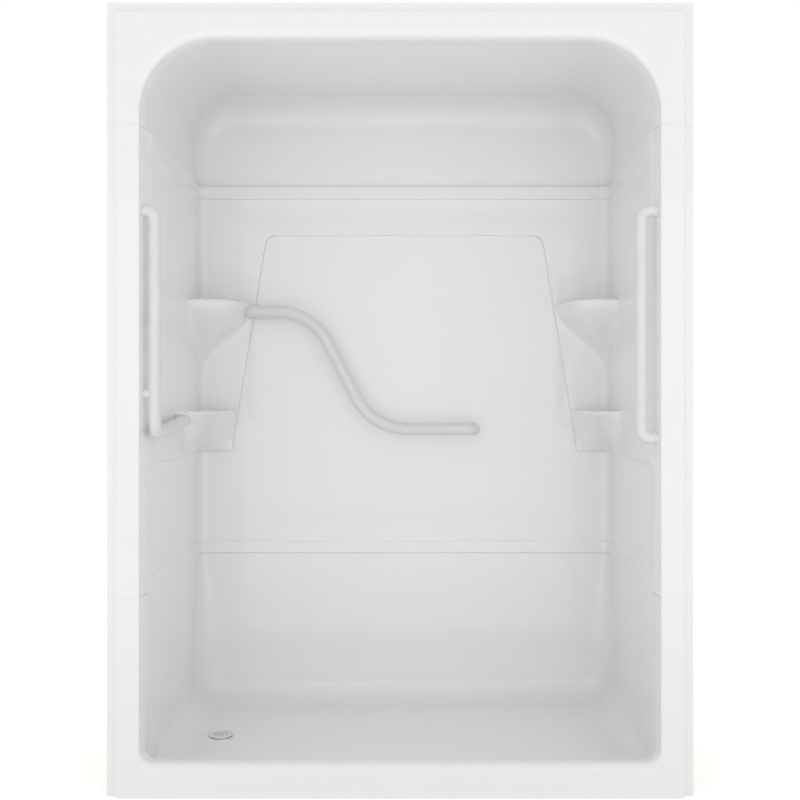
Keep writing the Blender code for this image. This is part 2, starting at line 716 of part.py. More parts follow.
def dome_rows():
    """Right half rows of the dome, from the flange to the back wall."""
    rows = dome_frame_rows()
    bottom = UPPER_JOINT_Z + JOINT_GAP_WALL
    for depth in DOME_CEILING_DEPTHS:
        radius = lerp(ARCH_RADIUS, DOME_BACK_CORNER, smooth(depth, *CORNER_GROWTH))
        contour = dome_contour(wall_half(depth), ceiling_z(depth), radius, bottom)
        rows.append([(x, depth, z) for x, z, _, _ in contour])
    for turn in quarter_turns(ARC_STEPS):
        row = []
        for x, z, normal, down in dome_contour(WALL_HALF_BACK, CEILING_BACK_Z, DOME_BACK_CORNER, bottom):
            if down <= 1.0:
                radius = lerp(DOME_BACK_RADIUS, DOME_SIDE_RADIUS, down)
            else:
                radius = lerp(DOME_SIDE_RADIUS, DOME_JOINT_RADIUS, down - 1.0)
            depth = DOME_BACK_DEPTH - radius * (1.0 - math.sin(turn))
            inwards = radius * (1.0 - math.cos(turn))
            row.append((x + normal[0] * inwards, depth, z + normal[1] * inwards))
        rows.append(row)
    return rows


def build_roof_dome(finish):
    rows = [list(reversed(both_halves(row))) for row in dome_rows()]
    columns = len(rows[0])
    points = [world(*p) for row in rows for p in row]
    faces = grid_faces(len(rows), columns)
    last_row = (len(rows) - 1) * columns
    faces.append(tuple(last_row + j for j in range(columns)))
    left = [i * columns + columns - 1 for i in range(len(rows))]
    right = [i * columns for i in reversed(range(len(rows)))]
    lap_end = UPPER_JOINT_Z - LAP_HEIGHT
    faces += lap_strip(points, left + right, lap_end, DOME_LAP_STEP, True)
    obj = add_object("roof_dome", points, faces, finish)
    thicken(obj)
    return obj


# Joint tapes


def build_tape(name, inner, outer, bottom, top, finish):
    """A strip between two plan lines, which fills the lap from one jamb round to the other."""
    outline = list(inner) + list(reversed(list(outer)))
    count = len(outline)
    points = [world(x, depth, z) for z in (bottom, top) for x, depth in outline]
    faces = [(k, (k + 1) % count, count + (k + 1) % count, count + k) for k in range(count)]
    faces.append(tuple(reversed(range(count))))
    faces.append(tuple(range(count, 2 * count)))
    return add_object(name, points, faces, finish)


def wall_line(front, back, depth, centre, offset):
    """Plan of two side walls and the back wall between them, moved back by the offset."""
    half = [(wall_half(along, front, back), along) for along in (TAPE_START_DEPTH, LAST_ROW_DEPTH)]
    for turn in quarter_turns(ARC_STEPS):
        across = centre[0] + (back - centre[0]) * math.cos(turn)
        half.append((across, centre[1] + (depth - centre[1]) * math.sin(turn)))
    line = [(-x, along) for x, along in half] + list(reversed(half))
    return offset_plan(line, [offset] * len(line))


def build_tapes(finish):
    behind = LAMINATE + LAP_GAP
    front, back, depth, centre = surround_planes(LOWER_JOINT_Z)
    inner = wall_line(front, back, depth, centre, behind)
    plain = (WALL_HALF_BACK - CORNER_RADIUS, CORNER_DEPTH)
    outer = wall_line(WALL_HALF_FRONT, WALL_HALF_BACK, BACK_WALL_DEPTH, plain, PAN_LAP_STEP - LAP_GAP)
    low, high = LOWER_JOINT_Z + TAPE_INSET, LOWER_JOINT_Z + LAP_HEIGHT
    build_tape("lower_seam_tape", inner, outer, low, high, finish)
    front, back, depth, centre = surround_planes(UPPER_JOINT_Z)
    inner = wall_line(front, back, depth, centre, behind)
    dome = (WALL_HALF_BACK - DOME_JOINT_RADIUS, DOME_BACK_DEPTH - DOME_JOINT_RADIUS)
    outer = wall_line(WALL_HALF_FRONT, WALL_HALF_BACK, DOME_BACK_DEPTH, dome, DOME_LAP_STEP - LAP_GAP)
    low, high = UPPER_JOINT_Z - LAP_HEIGHT, UPPER_JOINT_Z - TAPE_INSET
    build_tape("upper_seam_tape", inner, outer, low, high, finish)


# Grab bars


def rounded_path(corners, radii, steps=5):
    """A polyline whose inner corners are turned with arcs of the given radii."""
    corners = [np.array(c, float) for c in corners]
    path = [corners[0]]
    for k, radius in enumerate(radii, start=1):
        back = corners[k - 1] - corners[k]
        ahead = corners[k + 1] - corners[k]
        back /= np.linalg.norm(back)
        ahead /= np.linalg.norm(ahead)
        half_angle = math.acos(float(back @ ahead)) / 2
        bisector = (back + ahead) / np.linalg.norm(back + ahead)
        centre = corners[k] + bisector * radius / math.sin(half_angle)
        first = corners[k] + back * radius / math.tan(half_angle) - centre
        last = corners[k] + ahead * radius / math.tan(half_angle) - centre
        sweep = math.pi - 2 * half_angle
        for n in range(steps + 1):
            turn = sweep * n / steps
            path.append(centre + (first * math.sin(sweep - turn) + last * math.sin(turn)) / math.sin(sweep))
    return path + [corners[-1]]


def tube(name, path, radius, sides, finish):
    """A round bar along a path, with flat ends."""
    path = [np.array(p) for p in path]
    normal = Vector(path[1] - path[0]).orthogonal().normalized()
    points = []
    for k, centre in enumerate(path):
        before = Vector(path[k] - path[k - 1]) if k else Vector(path[1] - path[0])
        after = Vector(path[k + 1] - path[k]) if k + 1 < len(path) else before
        along = (before.normalized() + after.normalized()).normalized()
        normal = (normal - along * normal.dot(along)).normalized()
        side = along.cross(normal)
        for n in range(sides):
            turn = 2 * math.pi * n / sides
            points.append(Vector(centre) + (normal * math.cos(turn) + side * math.sin(turn)) * radius)
    faces = []
    for k in range(len(path) - 1):
        for n in range(sides):
            a, b = k * sides + n, k * sides + (n + 1) % sides
            faces.append((a, b, b + sides, a + sides))
    faces.append(tuple(reversed(range(sides))))
    faces.append(tuple(len(points) - sides + n for n in range(sides)))
    return add_object(name, points, faces, finish, angle=50.0)


def turned(name, profile, finish, sides=ROUND_SIDES):
    """A closed ring turned about Z from (radius, height) points, outer side first, going down."""
    count = len(profile)
    points = []
    for n in range(sides):
        turn = 2 * math.pi * n / sides
        points += [(r * math.cos(turn), r * math.sin(turn), z) for r, z in profile]
    faces = []
    for n in range(sides):
        m = (n + 1) % sides
        for k in range(count):
            a, b = n * count + k, n * count + (k + 1) % count
            faces.append((a, b, m * count + (k + 1) % count, m * count + k))
    return add_object(name, points, faces, finish)


def drill(name, start, end, radius=BOLT_HOLE_RADIUS):
    """A round cutter between two points."""
    cutter = tube(name, [start, end], radius, 12, bpy.data.materials["white_acrylic"])
    cutter.hide_render = True
    cutter.display_type = "WIRE"
    return cutter


def bolt_mesh(length):
    """A hexagon-head bolt along +Z: the shank ends at 0, the head starts at its length."""
    sides = 12
    flat = BOLT_HEAD_ACROSS / 2
    head = [flat / math.cos(math.radians(30)) if n % 2 == 0 else flat for n in range(sides)]
    rings = [([BOLT_RADIUS] * sides, 0.0), ([BOLT_RADIUS] * sides, length)]
    rings += [(head, length), (head, length + BOLT_HEAD_HEIGHT)]
    points = []
    for radii, z in rings:
        for n, r in enumerate(radii):
            turn = 2 * math.pi * n / sides
            points.append((r * math.cos(turn), r * math.sin(turn), z))
    faces = grid_faces(len(rings), sides)
    faces += [(k * sides + sides - 1, k * sides, (k + 1) * sides, (k + 2) * sides - 1) for k in range(3)]
    faces.append(tuple(reversed(range(sides))))
    faces.append(tuple(3 * sides + n for n in range(sides)))
    return points, faces


def aim(obj, position, axis):
    """Places an object with its +Z along the axis."""
    obj.location = position
    obj.rotation_mode = "QUATERNION"
    obj.rotation_quaternion = Vector(axis).to_track_quat("Z", "Y")


def fasten(label, wall_point, axis, board_far, finish, through, reach=BOLT_REACH):
    """A bolt and a washer from behind the board into a bar end, with the holes they need."""
    wall_point, axis = Vector(wall_point), Vector(axis)
    seat = board_far + 2 * GAP + WASHER_THICKNESS
    points, faces = bolt_mesh(reach + seat)
    bolt = add_object(label + "_bolt", points, faces, finish)
    aim(bolt, wall_point - axis * reach, axis)
    rim = [(WASHER_RADIUS, WASHER_THICKNESS), (WASHER_RADIUS, 0.0), (BOLT_HOLE_RADIUS, 0.0)]
    rim.append((BOLT_HOLE_RADIUS, WASHER_THICKNESS))
    washer = turned(label + "_washer", rim, finish)
    aim(washer, wall_point + axis * (board_far + GAP), axis)
    hole_start = wall_point - axis * (reach + HOLE_OVERRUN)
    hole = drill(label + "_hole", hole_start, wall_point + axis * (board_far + HOLE_OVERRUN))
    for obj in through:
        cut(obj, hole)


def box(name, low, high, finish):
    corners = [(x, y, z) for z in (low[2], high[2]) for y in (low[1], high[1]) for x in (low[0], high[0])]
    faces = [(0, 2, 3, 1), (4, 5, 7, 6), (0, 1, 5, 4), (2, 6, 7, 3), (0, 4, 6, 2), (1, 3, 7, 5)]
    return add_object(name, corners, faces, finish)


def board(name, x_range, depth_range, z_range, finish):
    low = world(x_range[0], depth_range[0], z_range[0])
    high = world(x_range[1], depth_range[1], z_range[1])
    return box(name, low, high, finish)


def around(middle, half):
    return (middle - half, middle + half)


def build_left_bar(bar_finish, ply, steel, surround):
    wall = -wall_half(ENTRY_BAR_DEPTH)
    rear_wall = -wall_half(LEFT_BAR_REAR_DEPTH, WALL_HALF_FRONT - RAISED_FRONT, WALL_HALF_BACK - RAISED_BACK)
    depth, x = ENTRY_BAR_DEPTH, -LEFT_BAR_HALF
    corners = [world(wall + GAP, depth, ENTRY_BAR_TOP_Z), world(x, depth, ENTRY_BAR_TOP_Z)]
    corners += [world(x, depth, LEFT_BAR_BOTTOM_Z), world(x, LEFT_BAR_REAR_DEPTH, LEFT_BAR_REAR_Z)]
    corners.append(world(rear_wall + REAR_END_CLEARANCE, LEFT_BAR_REAR_DEPTH, LEFT_BAR_REAR_Z))
    path = rounded_path(corners, [ENTRY_BEND] * 3)
    bar = tube("left_entry_bar", path, ENTRY_BAR_RADIUS, BAR_SIDES, bar_finish)
    post_start = world(wall + GAP, depth, LEFT_POST_Z)
    post_end = world(x, depth, LEFT_POST_Z)
    post = tube("left_entry_bar_post", [post_start, post_end], LEFT_POST_RADIUS, BAR_SIDES, bar_finish)
    saddle_low = world(x, depth, LEFT_POST_Z - 2 * LEFT_POST_RADIUS)
    saddle_high = world(x, depth, LEFT_POST_Z + 2 * LEFT_POST_RADIUS)
    saddle_radius = (ENTRY_BAR_RADIUS + GAP) / math.cos(math.pi / BAR_SIDES)
    cut(post, drill("post_saddle", saddle_low, saddle_high, saddle_radius))
    near = -JAMB_HALF - LAMINATE - BOARD_CLEARANCE
    far = near - BOARD_THICKNESS
    jamb_board = board("left_jamb_board", (far, near), JAMB_BOARD_DEPTHS, LEFT_JAMB_BOARD_Z, ply)
    top = world(wall, depth, ENTRY_BAR_TOP_Z)
    fasten("left_bar_top", top, (-1, 0, 0), wall - far, steel, [bar, surround, jamb_board])
    middle = world(wall, depth, LEFT_POST_Z)
    through = [post, surround, jamb_board]
    fasten("left_bar_post", middle, (-1, 0, 0), wall - far, steel, through, POST_BOLT_REACH)
    near = rear_wall - LAMINATE - REAR_BOARD_CLEARANCE
    far = near - BOARD_THICKNESS
    depths = around(LEFT_BAR_REAR_DEPTH, REAR_BOARD_HALF[0])
    heights = around(LEFT_BAR_REAR_Z, REAR_BOARD_HALF[1])
    rear_board = board("left_rear_board", (far, near), depths, heights, ply)
    rear = world(rear_wall, LEFT_BAR_REAR_DEPTH, LEFT_BAR_REAR_Z)
    fasten("left_bar_rear", rear, (-1, 0, 0), rear_wall - far, steel, [bar, surround, rear_board])


def build_right_bar(bar_finish, ply, steel, surround):
    wall = wall_half(ENTRY_BAR_DEPTH)
    depth, x = ENTRY_BAR_DEPTH, RIGHT_BAR_HALF
    corners = [world(wall - GAP, depth, ENTRY_BAR_TOP_Z), world(x, depth, ENTRY_BAR_TOP_Z)]
    corners += [world(x, depth, RIGHT_BAR_BOTTOM_Z), world(wall - GAP, depth, RIGHT_BAR_BOTTOM_Z)]
    path = rounded_path(corners, [ENTRY_BEND, ENTRY_BEND])
    bar = tube("right_entry_bar", path, ENTRY_BAR_RADIUS, BAR_SIDES, bar_finish)
    near = JAMB_HALF + LAMINATE + BOARD_CLEARANCE
    far = near + BOARD_THICKNESS
    jamb_board = board("right_jamb_board", (near, far), JAMB_BOARD_DEPTHS, RIGHT_JAMB_BOARD_Z, ply)
    for label, z in (("right_bar_top", ENTRY_BAR_TOP_Z), ("right_bar_bottom", RIGHT_BAR_BOTTOM_Z)):
        fasten(label, world(wall, depth, z), (1, 0, 0), far - wall, steel, [bar, surround, jamb_board])


def build_back_bar(bar_finish, ply, steel, surround):
    run = (BACK_BAR_TOP_Z - BACK_BAR_BOTTOM_Z) / math.tan(BACK_BAR_SLOPE)
    depth, top, bottom = BACK_BAR_DEPTH, BACK_BAR_TOP_Z, BACK_BAR_BOTTOM_Z
    wall = BACK_WALL_DEPTH
    corners = [world(BACK_BAR_LEFT_X, wall - GAP, top), world(BACK_BAR_LEFT_X, depth, top)]
    corners += [world(BACK_BAR_TURN_X, depth, top), world(BACK_BAR_TURN_X + run, depth, bottom)]
    corners += [world(BACK_BAR_RIGHT_X, depth, bottom), world(BACK_BAR_RIGHT_X, wall - GAP, bottom)]
    radii = [BACK_BAR_END_BEND, BACK_BAR_BEND, BACK_BAR_BEND, BACK_BAR_END_BEND]
    bar = tube("back_bar", rounded_path(corners, radii, steps=6), BACK_BAR_RADIUS, BAR_SIDES, bar_finish)
    cut(bar, scribe_cutter())
    near = wall + LAMINATE + BATTEN_CLEARANCE
    far = near + BACK_BOARD_THICKNESS
    for side, x, z in (("left", BACK_BAR_LEFT_X, top), ("right", BACK_BAR_RIGHT_X, bottom)):
        across, upright = around(x, BACK_BOARD_HALF[0]), around(z, BACK_BOARD_HALF[1])
        plate = board("back_board_" + side, across, (near, far), upright, ply)
        label = "back_bar_" + side
        fasten(label, world(x, wall, z), (0, 1, 0), far - wall, steel, [bar, surround, plate])


def scribe_cutter():
    """The raised moulding beside the panel, with a hair of room, cut out of the bar's left end."""
    low, high = around(BACK_BAR_TOP_Z, 2 * BACK_BAR_RADIUS)
    inner = PANEL_EDGE + 2 * GAP
    outer = -3 * BACK_BAR_RADIUS
    outline = [(-panel_half(low) + inner, low), (-panel_half(high) + inner, high)]
    outline += [(-panel_half(high) + outer, high), (-panel_half(low) + outer, low)]
    depths = (BACK_WALL_DEPTH - RAISED_PANEL - GAP, BACK_WALL_DEPTH + RAISED_PANEL)
    points = [world(x, depth, z) for depth in depths for x, z in outline]
    faces = [(0, 1, 2, 3), (7, 6, 5, 4)]
    faces += [(4 + k, 4 + (k + 1) % 4, (k + 1) % 4, k) for k in range(4)]
    return add_object("bar_scribe", points, faces, bpy.data.materials["white_acrylic"])


# Drain


def ring_profile(inner, outer, bottom, top):
    return [(outer, top), (outer, bottom), (inner, bottom), (inner, top)]


def drain_body_profile(flange):
    """Rim, flange, tail tube and the ledge that the strainer lies on; flange is its underside."""
    rim_top = flange + DRAIN_RIM_HEIGHT
    ledge = flange + DRAIN_LEDGE_HEIGHT
    seat = STRAINER_RADIUS + STRAINER_CLEARANCE
    outside = [(DRAIN_FLANGE_RADIUS - DRAIN_RIM_BEVEL, rim_top)]
    outside += [(DRAIN_FLANGE_RADIUS, rim_top - DRAIN_RIM_BEVEL), (DRAIN_FLANGE_RADIUS, flange)]
    outside += [(DRAIN_TUBE_RADIUS, flange), (DRAIN_TUBE_RADIUS, DRAIN_BOTTOM_Z)]
    inside = [(DRAIN_BORE_RADIUS, DRAIN_BOTTOM_Z), (DRAIN_BORE_RADIUS, ledge), (seat, ledge), (seat, rim_top)]
    return outside + inside


def build_drain(chrome, pvc, rubber, pan):
    """The drain from the strainer down; every height is counted from the pan floor."""
    floor = DRAIN_FLOOR_Z
    hole_low, hole_high = (world(DRAIN_X, DRAIN_DEPTH, z) for z in around(floor, 2 * LAMINATE))
    cut(pan, drill("drain_hole", hole_low, hole_high, DRAIN_HOLE_RADIUS))
    seal_top = floor + GAP + SEAL_THICKNESS
    flange = seal_top + GAP
    seal_outer = DRAIN_FLANGE_RADIUS - DRAIN_RIM_BEVEL
    under = floor - LAMINATE - GAP
    washer_bottom = under - FRICTION_WASHER_THICKNESS
    nut_top = washer_bottom - GAP
    thread = DRAIN_TUBE_RADIUS + THREAD_CLEARANCE
    gasket_outer = DRAIN_BORE_RADIUS - GAP
    rings = [("drain_seal", ring_profile(DRAIN_HOLE_RADIUS, seal_outer, floor + GAP, seal_top), rubber)]
    rings.append(("drain_body", drain_body_profile(flange), chrome))
    washer = ring_profile(thread, FRICTION_WASHER_RADIUS, washer_bottom, under)
    rings.append(("drain_friction_washer", washer, pvc))
    nut = ring_profile(thread, LOCKNUT_RADIUS, nut_top - LOCKNUT_HEIGHT, nut_top)
    rings.append(("drain_locknut", nut, pvc))
    gasket = ring_profile(GASKET_LIP_RADIUS, gasket_outer, GASKET_BOTTOM_Z, GASKET_TOP_Z)
    rings.append(("drain_pipe_gasket", gasket, rubber))
    for name, profile, finish in rings:
        turned(name, profile, finish).location = world(DRAIN_X, DRAIN_DEPTH, 0.0)
    build_strainer(flange + DRAIN_LEDGE_HEIGHT + GAP, chrome)


def build_strainer(bottom, chrome):
    """A slightly domed disc with rings of round holes."""
    sides = ROUND_SIDES
    rows = []
    for share in (0.6, 1.0):
        rows.append((STRAINER_RADIUS * share, lerp(STRAINER_DOME, STRAINER_EDGE, share**2)))
    rows += [(STRAINER_RADIUS, 0.0), (STRAINER_RADIUS * 0.6, 0.0)]
    points = [(0.0, 0.0, STRAINER_DOME), (0.0, 0.0, 0.0)]
    for n in range(sides):
        turn = 2 * math.pi * n / sides
        points += [(r * math.cos(turn), r * math.sin(turn), z) for r, z in rows]
    faces = []
    for n in range(sides):
        a, b = 2 + n * len(rows), 2 + ((n + 1) % sides) * len(rows)
        faces.append((0, a, b))
        faces.append((1, b + len(rows) - 1, a + len(rows) - 1))
        faces += [(a + k, a + k + 1, b + k + 1, b + k) for k in range(len(rows) - 1)]
    strainer = add_object("drain_strainer", points, faces, chrome)
    strainer.location = world(DRAIN_X, DRAIN_DEPTH, bottom)
    for ring, (count, radius) in enumerate(STRAINER_HOLE_RINGS):
        for k in range(count):
            turn = 2 * math.pi * k / count
            x, depth = DRAIN_X + radius * math.cos(turn), DRAIN_DEPTH + radius * math.sin(turn)
            low, high = (world(x, depth, z) for z in around(bottom, 2 * STRAINER_DOME))
            cut(strainer, drill("strainer_hole_%d_%d" % (ring, k), low, high, STRAINER_HOLE_RADIUS))


# Supports


def build_pads(finish):
    """Support pads, each as tall as the lowest part of the floor above it allows."""
    for row, depth in PAD_PLACES_DEPTH:
        for side, x in PAD_PLACES_X:
            across, along = around(x, PAD_HALF_X), around(depth, PAD_HALF_DEPTH)
            lowest = min(pan_floor_z(a, b) for a in across for b in along)
            board("%s_%s_pad" % (row, side), across, along, (0.0, lowest - LAMINATE - 2 * GAP), finish)


def build_battens(ply):
    """Battens behind the back wall, up to the full depth, and along the roof."""
    start = BACK_WALL_DEPTH + LAMINATE + BATTEN_CLEARANCE
    for side, x in (("left", -BATTEN_HALF_SPACING), ("middle", 0.0), ("right", BATTEN_HALF_SPACING)):
        board("back_batten_" + side, around(x, BATTEN_WIDTH / 2), (start, DEPTH), BACK_BATTEN_Z, ply)
    low, high = ROOF_BATTEN_DEPTHS
    for side, x in (("left", -BATTEN_HALF_SPACING), ("right", BATTEN_HALF_SPACING)):
        points = []
        for across in around(x, BATTEN_WIDTH / 2):
            for depth, rise in ((low, 0), (high, 0), (high, ROOF_BATTEN_HEIGHT), (low, ROOF_BATTEN_HEIGHT)):
                points.append(world(across, depth, ceiling_z(depth) + LAMINATE + 3 * GAP + rise))
        faces = [(3, 2, 1, 0), (4, 5, 6, 7)]
        faces += [(k, (k + 1) % 4, 4 + (k + 1) % 4, 4 + k) for k in range(4)]
        add_object("roof_batten_" + side, points, faces, ply)


def main():
    clear_scene()
    acrylic = material("white_acrylic", WHITE, 0.18)
    bar_finish = material("white_coated_tube", BAR_WHITE, 0.35)
    tape = material("grey_foam_tape", TAPE_GREY, 0.9)
    ply = material("plywood", PLY, 0.75)
    steel = material("zinc_plated_steel", STEEL, 0.35, 1.0)
    chrome = material("chrome_plate", CHROME, 0.12, 1.0)
    rubber = material("black_rubber", RUBBER, 0.8)
    pvc = material("white_pvc", PVC, 0.45)
    foam = material("rigid_foam", FOAM, 0.9)
    surround = build_wall_surround(acrylic)
    pan = build_base_pan(acrylic)
    build_roof_dome(acrylic)
    build_tapes(tape)
    build_left_bar(bar_finish, ply, steel, surround)
    build_right_bar(bar_finish, ply, steel, surround)
    build_back_bar(bar_finish, ply, steel, surround)
    build_drain(chrome, pvc, rubber, pan)
    build_pads(foam)
    build_battens(ply)


if __name__ == "__main__":
    main()
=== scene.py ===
"""Acrylic shower module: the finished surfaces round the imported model.

Units are metres. X runs to the right, Y from the front to the back, Z upwards. Depths are
measured from the face of the front frame, and half widths from the middle. Every shell is a
grid of points on the surface that faces the room, with the laminate behind it.
"""

import math

import bpy
import numpy as np
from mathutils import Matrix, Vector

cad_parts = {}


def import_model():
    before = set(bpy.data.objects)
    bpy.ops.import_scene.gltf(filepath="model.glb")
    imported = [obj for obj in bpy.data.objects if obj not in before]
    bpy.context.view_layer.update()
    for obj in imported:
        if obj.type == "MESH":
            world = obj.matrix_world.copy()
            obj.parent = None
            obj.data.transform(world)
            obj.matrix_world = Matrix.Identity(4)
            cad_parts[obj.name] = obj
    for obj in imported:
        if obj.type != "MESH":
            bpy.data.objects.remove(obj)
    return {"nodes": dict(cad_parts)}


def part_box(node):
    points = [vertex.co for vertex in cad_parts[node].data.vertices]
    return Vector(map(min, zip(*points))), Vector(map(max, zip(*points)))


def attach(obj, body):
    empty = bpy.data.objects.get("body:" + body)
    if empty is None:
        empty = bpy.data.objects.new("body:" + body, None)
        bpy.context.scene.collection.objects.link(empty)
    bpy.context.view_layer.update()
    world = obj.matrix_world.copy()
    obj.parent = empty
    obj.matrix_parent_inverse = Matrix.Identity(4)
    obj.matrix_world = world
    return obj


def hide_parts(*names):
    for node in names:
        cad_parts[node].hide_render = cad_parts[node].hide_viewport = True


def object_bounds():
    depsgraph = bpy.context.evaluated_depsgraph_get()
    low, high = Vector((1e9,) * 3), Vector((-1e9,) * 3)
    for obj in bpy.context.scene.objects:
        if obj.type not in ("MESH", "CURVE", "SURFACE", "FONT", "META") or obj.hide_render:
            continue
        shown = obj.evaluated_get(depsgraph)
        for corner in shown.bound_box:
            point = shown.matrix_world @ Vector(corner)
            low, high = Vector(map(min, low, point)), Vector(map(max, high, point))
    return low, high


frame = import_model()

bl_info = {
    "name": "Acrylic shower module",
    "version": (1, 0, 0),
    "blender": (4, 5, 0),
    "location": "3D View > Sidebar > Shower",
    "description": "Builds the shells, grab bars, drain and supports of a three-piece shower module",
    "category": "Add Mesh",
}

# Overall size, taken from the frame
LOW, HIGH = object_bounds()
FRONT_Y = LOW.y
HALF_WIDTH = (HIGH.x - LOW.x) / 2
HEIGHT = HIGH.z

# Laminate and joints
GAP = 0.0003
LAP_HEIGHT = 0.034
FRAME_LAP_STEP = 0.0062
FRAME_LAP_DEPTHS = (0.054, 0.074)
PAN_LAP_STEP = 0.0042
DOME_LAP_STEP = 0.0006
JOINT_GAP_WALL = 0.0014
JOINT_GAP_FACE = 0.0004
JOINT_GAP_DEPTHS = (0.010, 0.040)
LOWER_JOINT_Z = 0.518
UPPER_JOINT_Z = 1.742
BAND_HEIGHT = 0.040
BAND_EDGE = 0.002

# Front frame
FLANGE_WIDTH = 0.025
FLANGE_SETBACK = 0.016
FACE_HALF = HALF_WIDTH - FLANGE_WIDTH
FACE_EDGE_HALF = 0.6785
FACE_DEPTH = 0.0006
JAMB_EDGE = 0.004
JAMB_HALF = 0.671
JAMB_BACK_DEPTH = 0.050
JAMB_BLEND_DEPTH = 0.110
EDGE_STEPS = 12
WALL_START_DEPTH = 0.054

# Walls: the plain wall plane, and how far the bands and the raised moulding stand in from it
WALL_HALF_FRONT = 0.6712
WALL_HALF_BACK = 0.690
BACK_WALL_DEPTH = 0.780
CORNER_RADIUS = 0.032
CORNER_DEPTH = BACK_WALL_DEPTH - CORNER_RADIUS
LOWER_BAND_PROUD = 0.002
RAISED_FRONT = 0.0032
RAISED_BACK = 0.006
RAISED_PANEL = 0.008
UPPER_BAND_SIDE = 0.004
UPPER_BAND_BACK = 0.010
UPPER_BAND_RADIUS = 0.034
COVE_BOTTOM_Z = 1.655
COVE_SHARE = 0.3

# Recessed trapezoid panel in the back wall
SKIRT_Z = 0.855
SKIRT_STEP = 0.004
PANEL_TOP_Z = 1.581
PANEL_HALF_BOTTOM = 0.581
PANEL_HALF_TOP = 0.463
PANEL_CORNER_RADIUS = 0.030
PANEL_EDGE = 0.001
PANEL_GROOVE = (0.0030, 0.0022)

# Corner shelves: where the front edge leaves the side wall, and the corner of its plan
SHELF_DEPTH = 0.567
SHELF_CORNER = (0.549, 0.588)
SHELF_CORNER_RADIUS = 0.068
LOWER_SHELF_CORNER = (0.600, 0.585)
LOWER_SHELF_CORNER_RADIUS = 0.026
SHELF_RISE = 0.0015
SHELF_NOSE_SHARE = 0.055
SHELF_COVE_SHARE = 0.06
LOWER_SHELF_Z = 0.994
UPPER_SHELF_Z = 1.350
UPPER_APRON_Z = 1.150

# Steps of a plan path along the side wall, round the shelf and along the back wall
PATH_STEPS = (8, 48, 10)
APRON_SETTLING = 32

# Base pan
THRESHOLD_Z = 0.088
THRESHOLD_RADIUS = 0.022
THRESHOLD_TOP_DEPTH = 0.040
THRESHOLD_FOOT_DEPTH = 0.085
OPENING_BOTTOM_RADIUS = 0.036
PAN_CORNER_RADIUS = 0.100
FLOOR_Z = 0.030
DRAIN_FLOOR_Z = 0.022
FLOOR_FALL = 0.010
FLOOR_BLEND = 0.012
PAN_BACK_RADIUS = 0.068
PAN_SIDE_RADIUS = 0.085
LAST_ROW_DEPTH = 0.600
CORNER_GROWTH = (0.050, LAST_ROW_DEPTH)
PAN_SIDE_STEPS = (16, 9)
PAN_BACK_STEPS = 16

# Roof dome
LINTEL_Z = 1.988
LINTEL_RADIUS = 0.022
LINTEL_DEPTH = 0.020
ARCH_RADIUS = 0.190
CEILING_FRONT_Z = 1.968
CEILING_BACK_Z = 2.026
CEILING_FLAT_HALF = 0.48
CEILING_RUNS = ((0.034, 3), (WALL_START_DEPTH, 8), (0.200, 12), (0.450, 8))
DOME_BACK_CORNER = 0.150
DOME_BACK_DEPTH = 0.772
DOME_BACK_RADIUS = 0.090
DOME_SIDE_RADIUS = 0.058
DOME_JOINT_RADIUS = 0.040
DOME_SIDE_STEPS = (26, 10)
DOME_BACK_STEPS = 18

# Drain, in the flat patch of the floor
DRAIN_X = -0.545
DRAIN_DEPTH = 0.425
DRAIN_PATCH = 0.045
DRAIN_HOLE_RADIUS = 0.027
DRAIN_HOLE_CELLS = 4
DRAIN_TAIL_RADIUS = 0.0255
DRAIN_BORE_RADIUS = 0.022
DRAIN_THREAD_RADIUS = 0.0261
DRAIN_SEAT_WIDTH = 0.0058
DRAIN_LEDGE = 0.0008
DRAIN_BEVEL = (0.0006, 0.0012)
DRAIN_SOFT_EDGE = 0.0004
WASHER_SOFT_EDGE = 0.0002
GRIP_DEPTH = 0.0016
GRIP_START = 0.2
GASKET_BORE = ((0.019, 0.001), (0.0195, -0.003))
STRAINER_RINGS = ((1, 0.0), (6, 0.0095), (12, 0.019))
STRAINER_EDGE = 0.001
STRAINER_SHARE = 0.985

# Grab bars
ENTRY_BAR_DEPTH = 0.033
ENTRY_BAR_SUNK = 0.002
ENTRY_BAR_TOP_Z = 1.524
LEFT_BAR_HALF = 0.641
LEFT_BAR_BOTTOM_Z = 0.940
LEFT_BAR_REAR_Z = 0.972
LEFT_BAR_REAR_DEPTH = 0.398
LEFT_POST_Z = 1.046
POST_SADDLE = 0.8
RIGHT_BAR_HALF = 0.6296
RIGHT_BAR_BOTTOM_Z = 0.930
BACK_BAR_DEPTH = 0.723
BACK_BAR_LEFT_X = -0.515
BACK_BAR_RIGHT_X = 0.232
BACK_BAR_TOP_Z = 1.322
BACK_BAR_BOTTOM_Z = 0.934
BACK_BAR_TURN_X = -0.3057
BACK_BAR_SLOPE = math.radians(62.6)
REAR_END_CLEARANCE = 0.0012

# Bolts: the thread's pitch, its depth, the steps it is drawn in and how far it stays from the ends
THREAD_PITCH = 0.00125
THREAD_STEP = THREAD_PITCH / 4
THREAD_DEPTH = 0.00035
THREAD_ENDS = (0.0015, 0.002)
POINT_CHAMFER = 0.0012

# Bolt heads: heights as shares of the head's, and radii as shares of the hexagon and of its flats
HEAD_LEVELS = (0.0, 0.0002, 0.8, 0.93, 1.0)
HEAD_FOOT = 0.97
HEAD_CORNER = 1.06
HEAD_TOP = 0.93
WASHER_EDGE = 0.0003

# Boards: the thickness of one ply
PLY = 0.0024

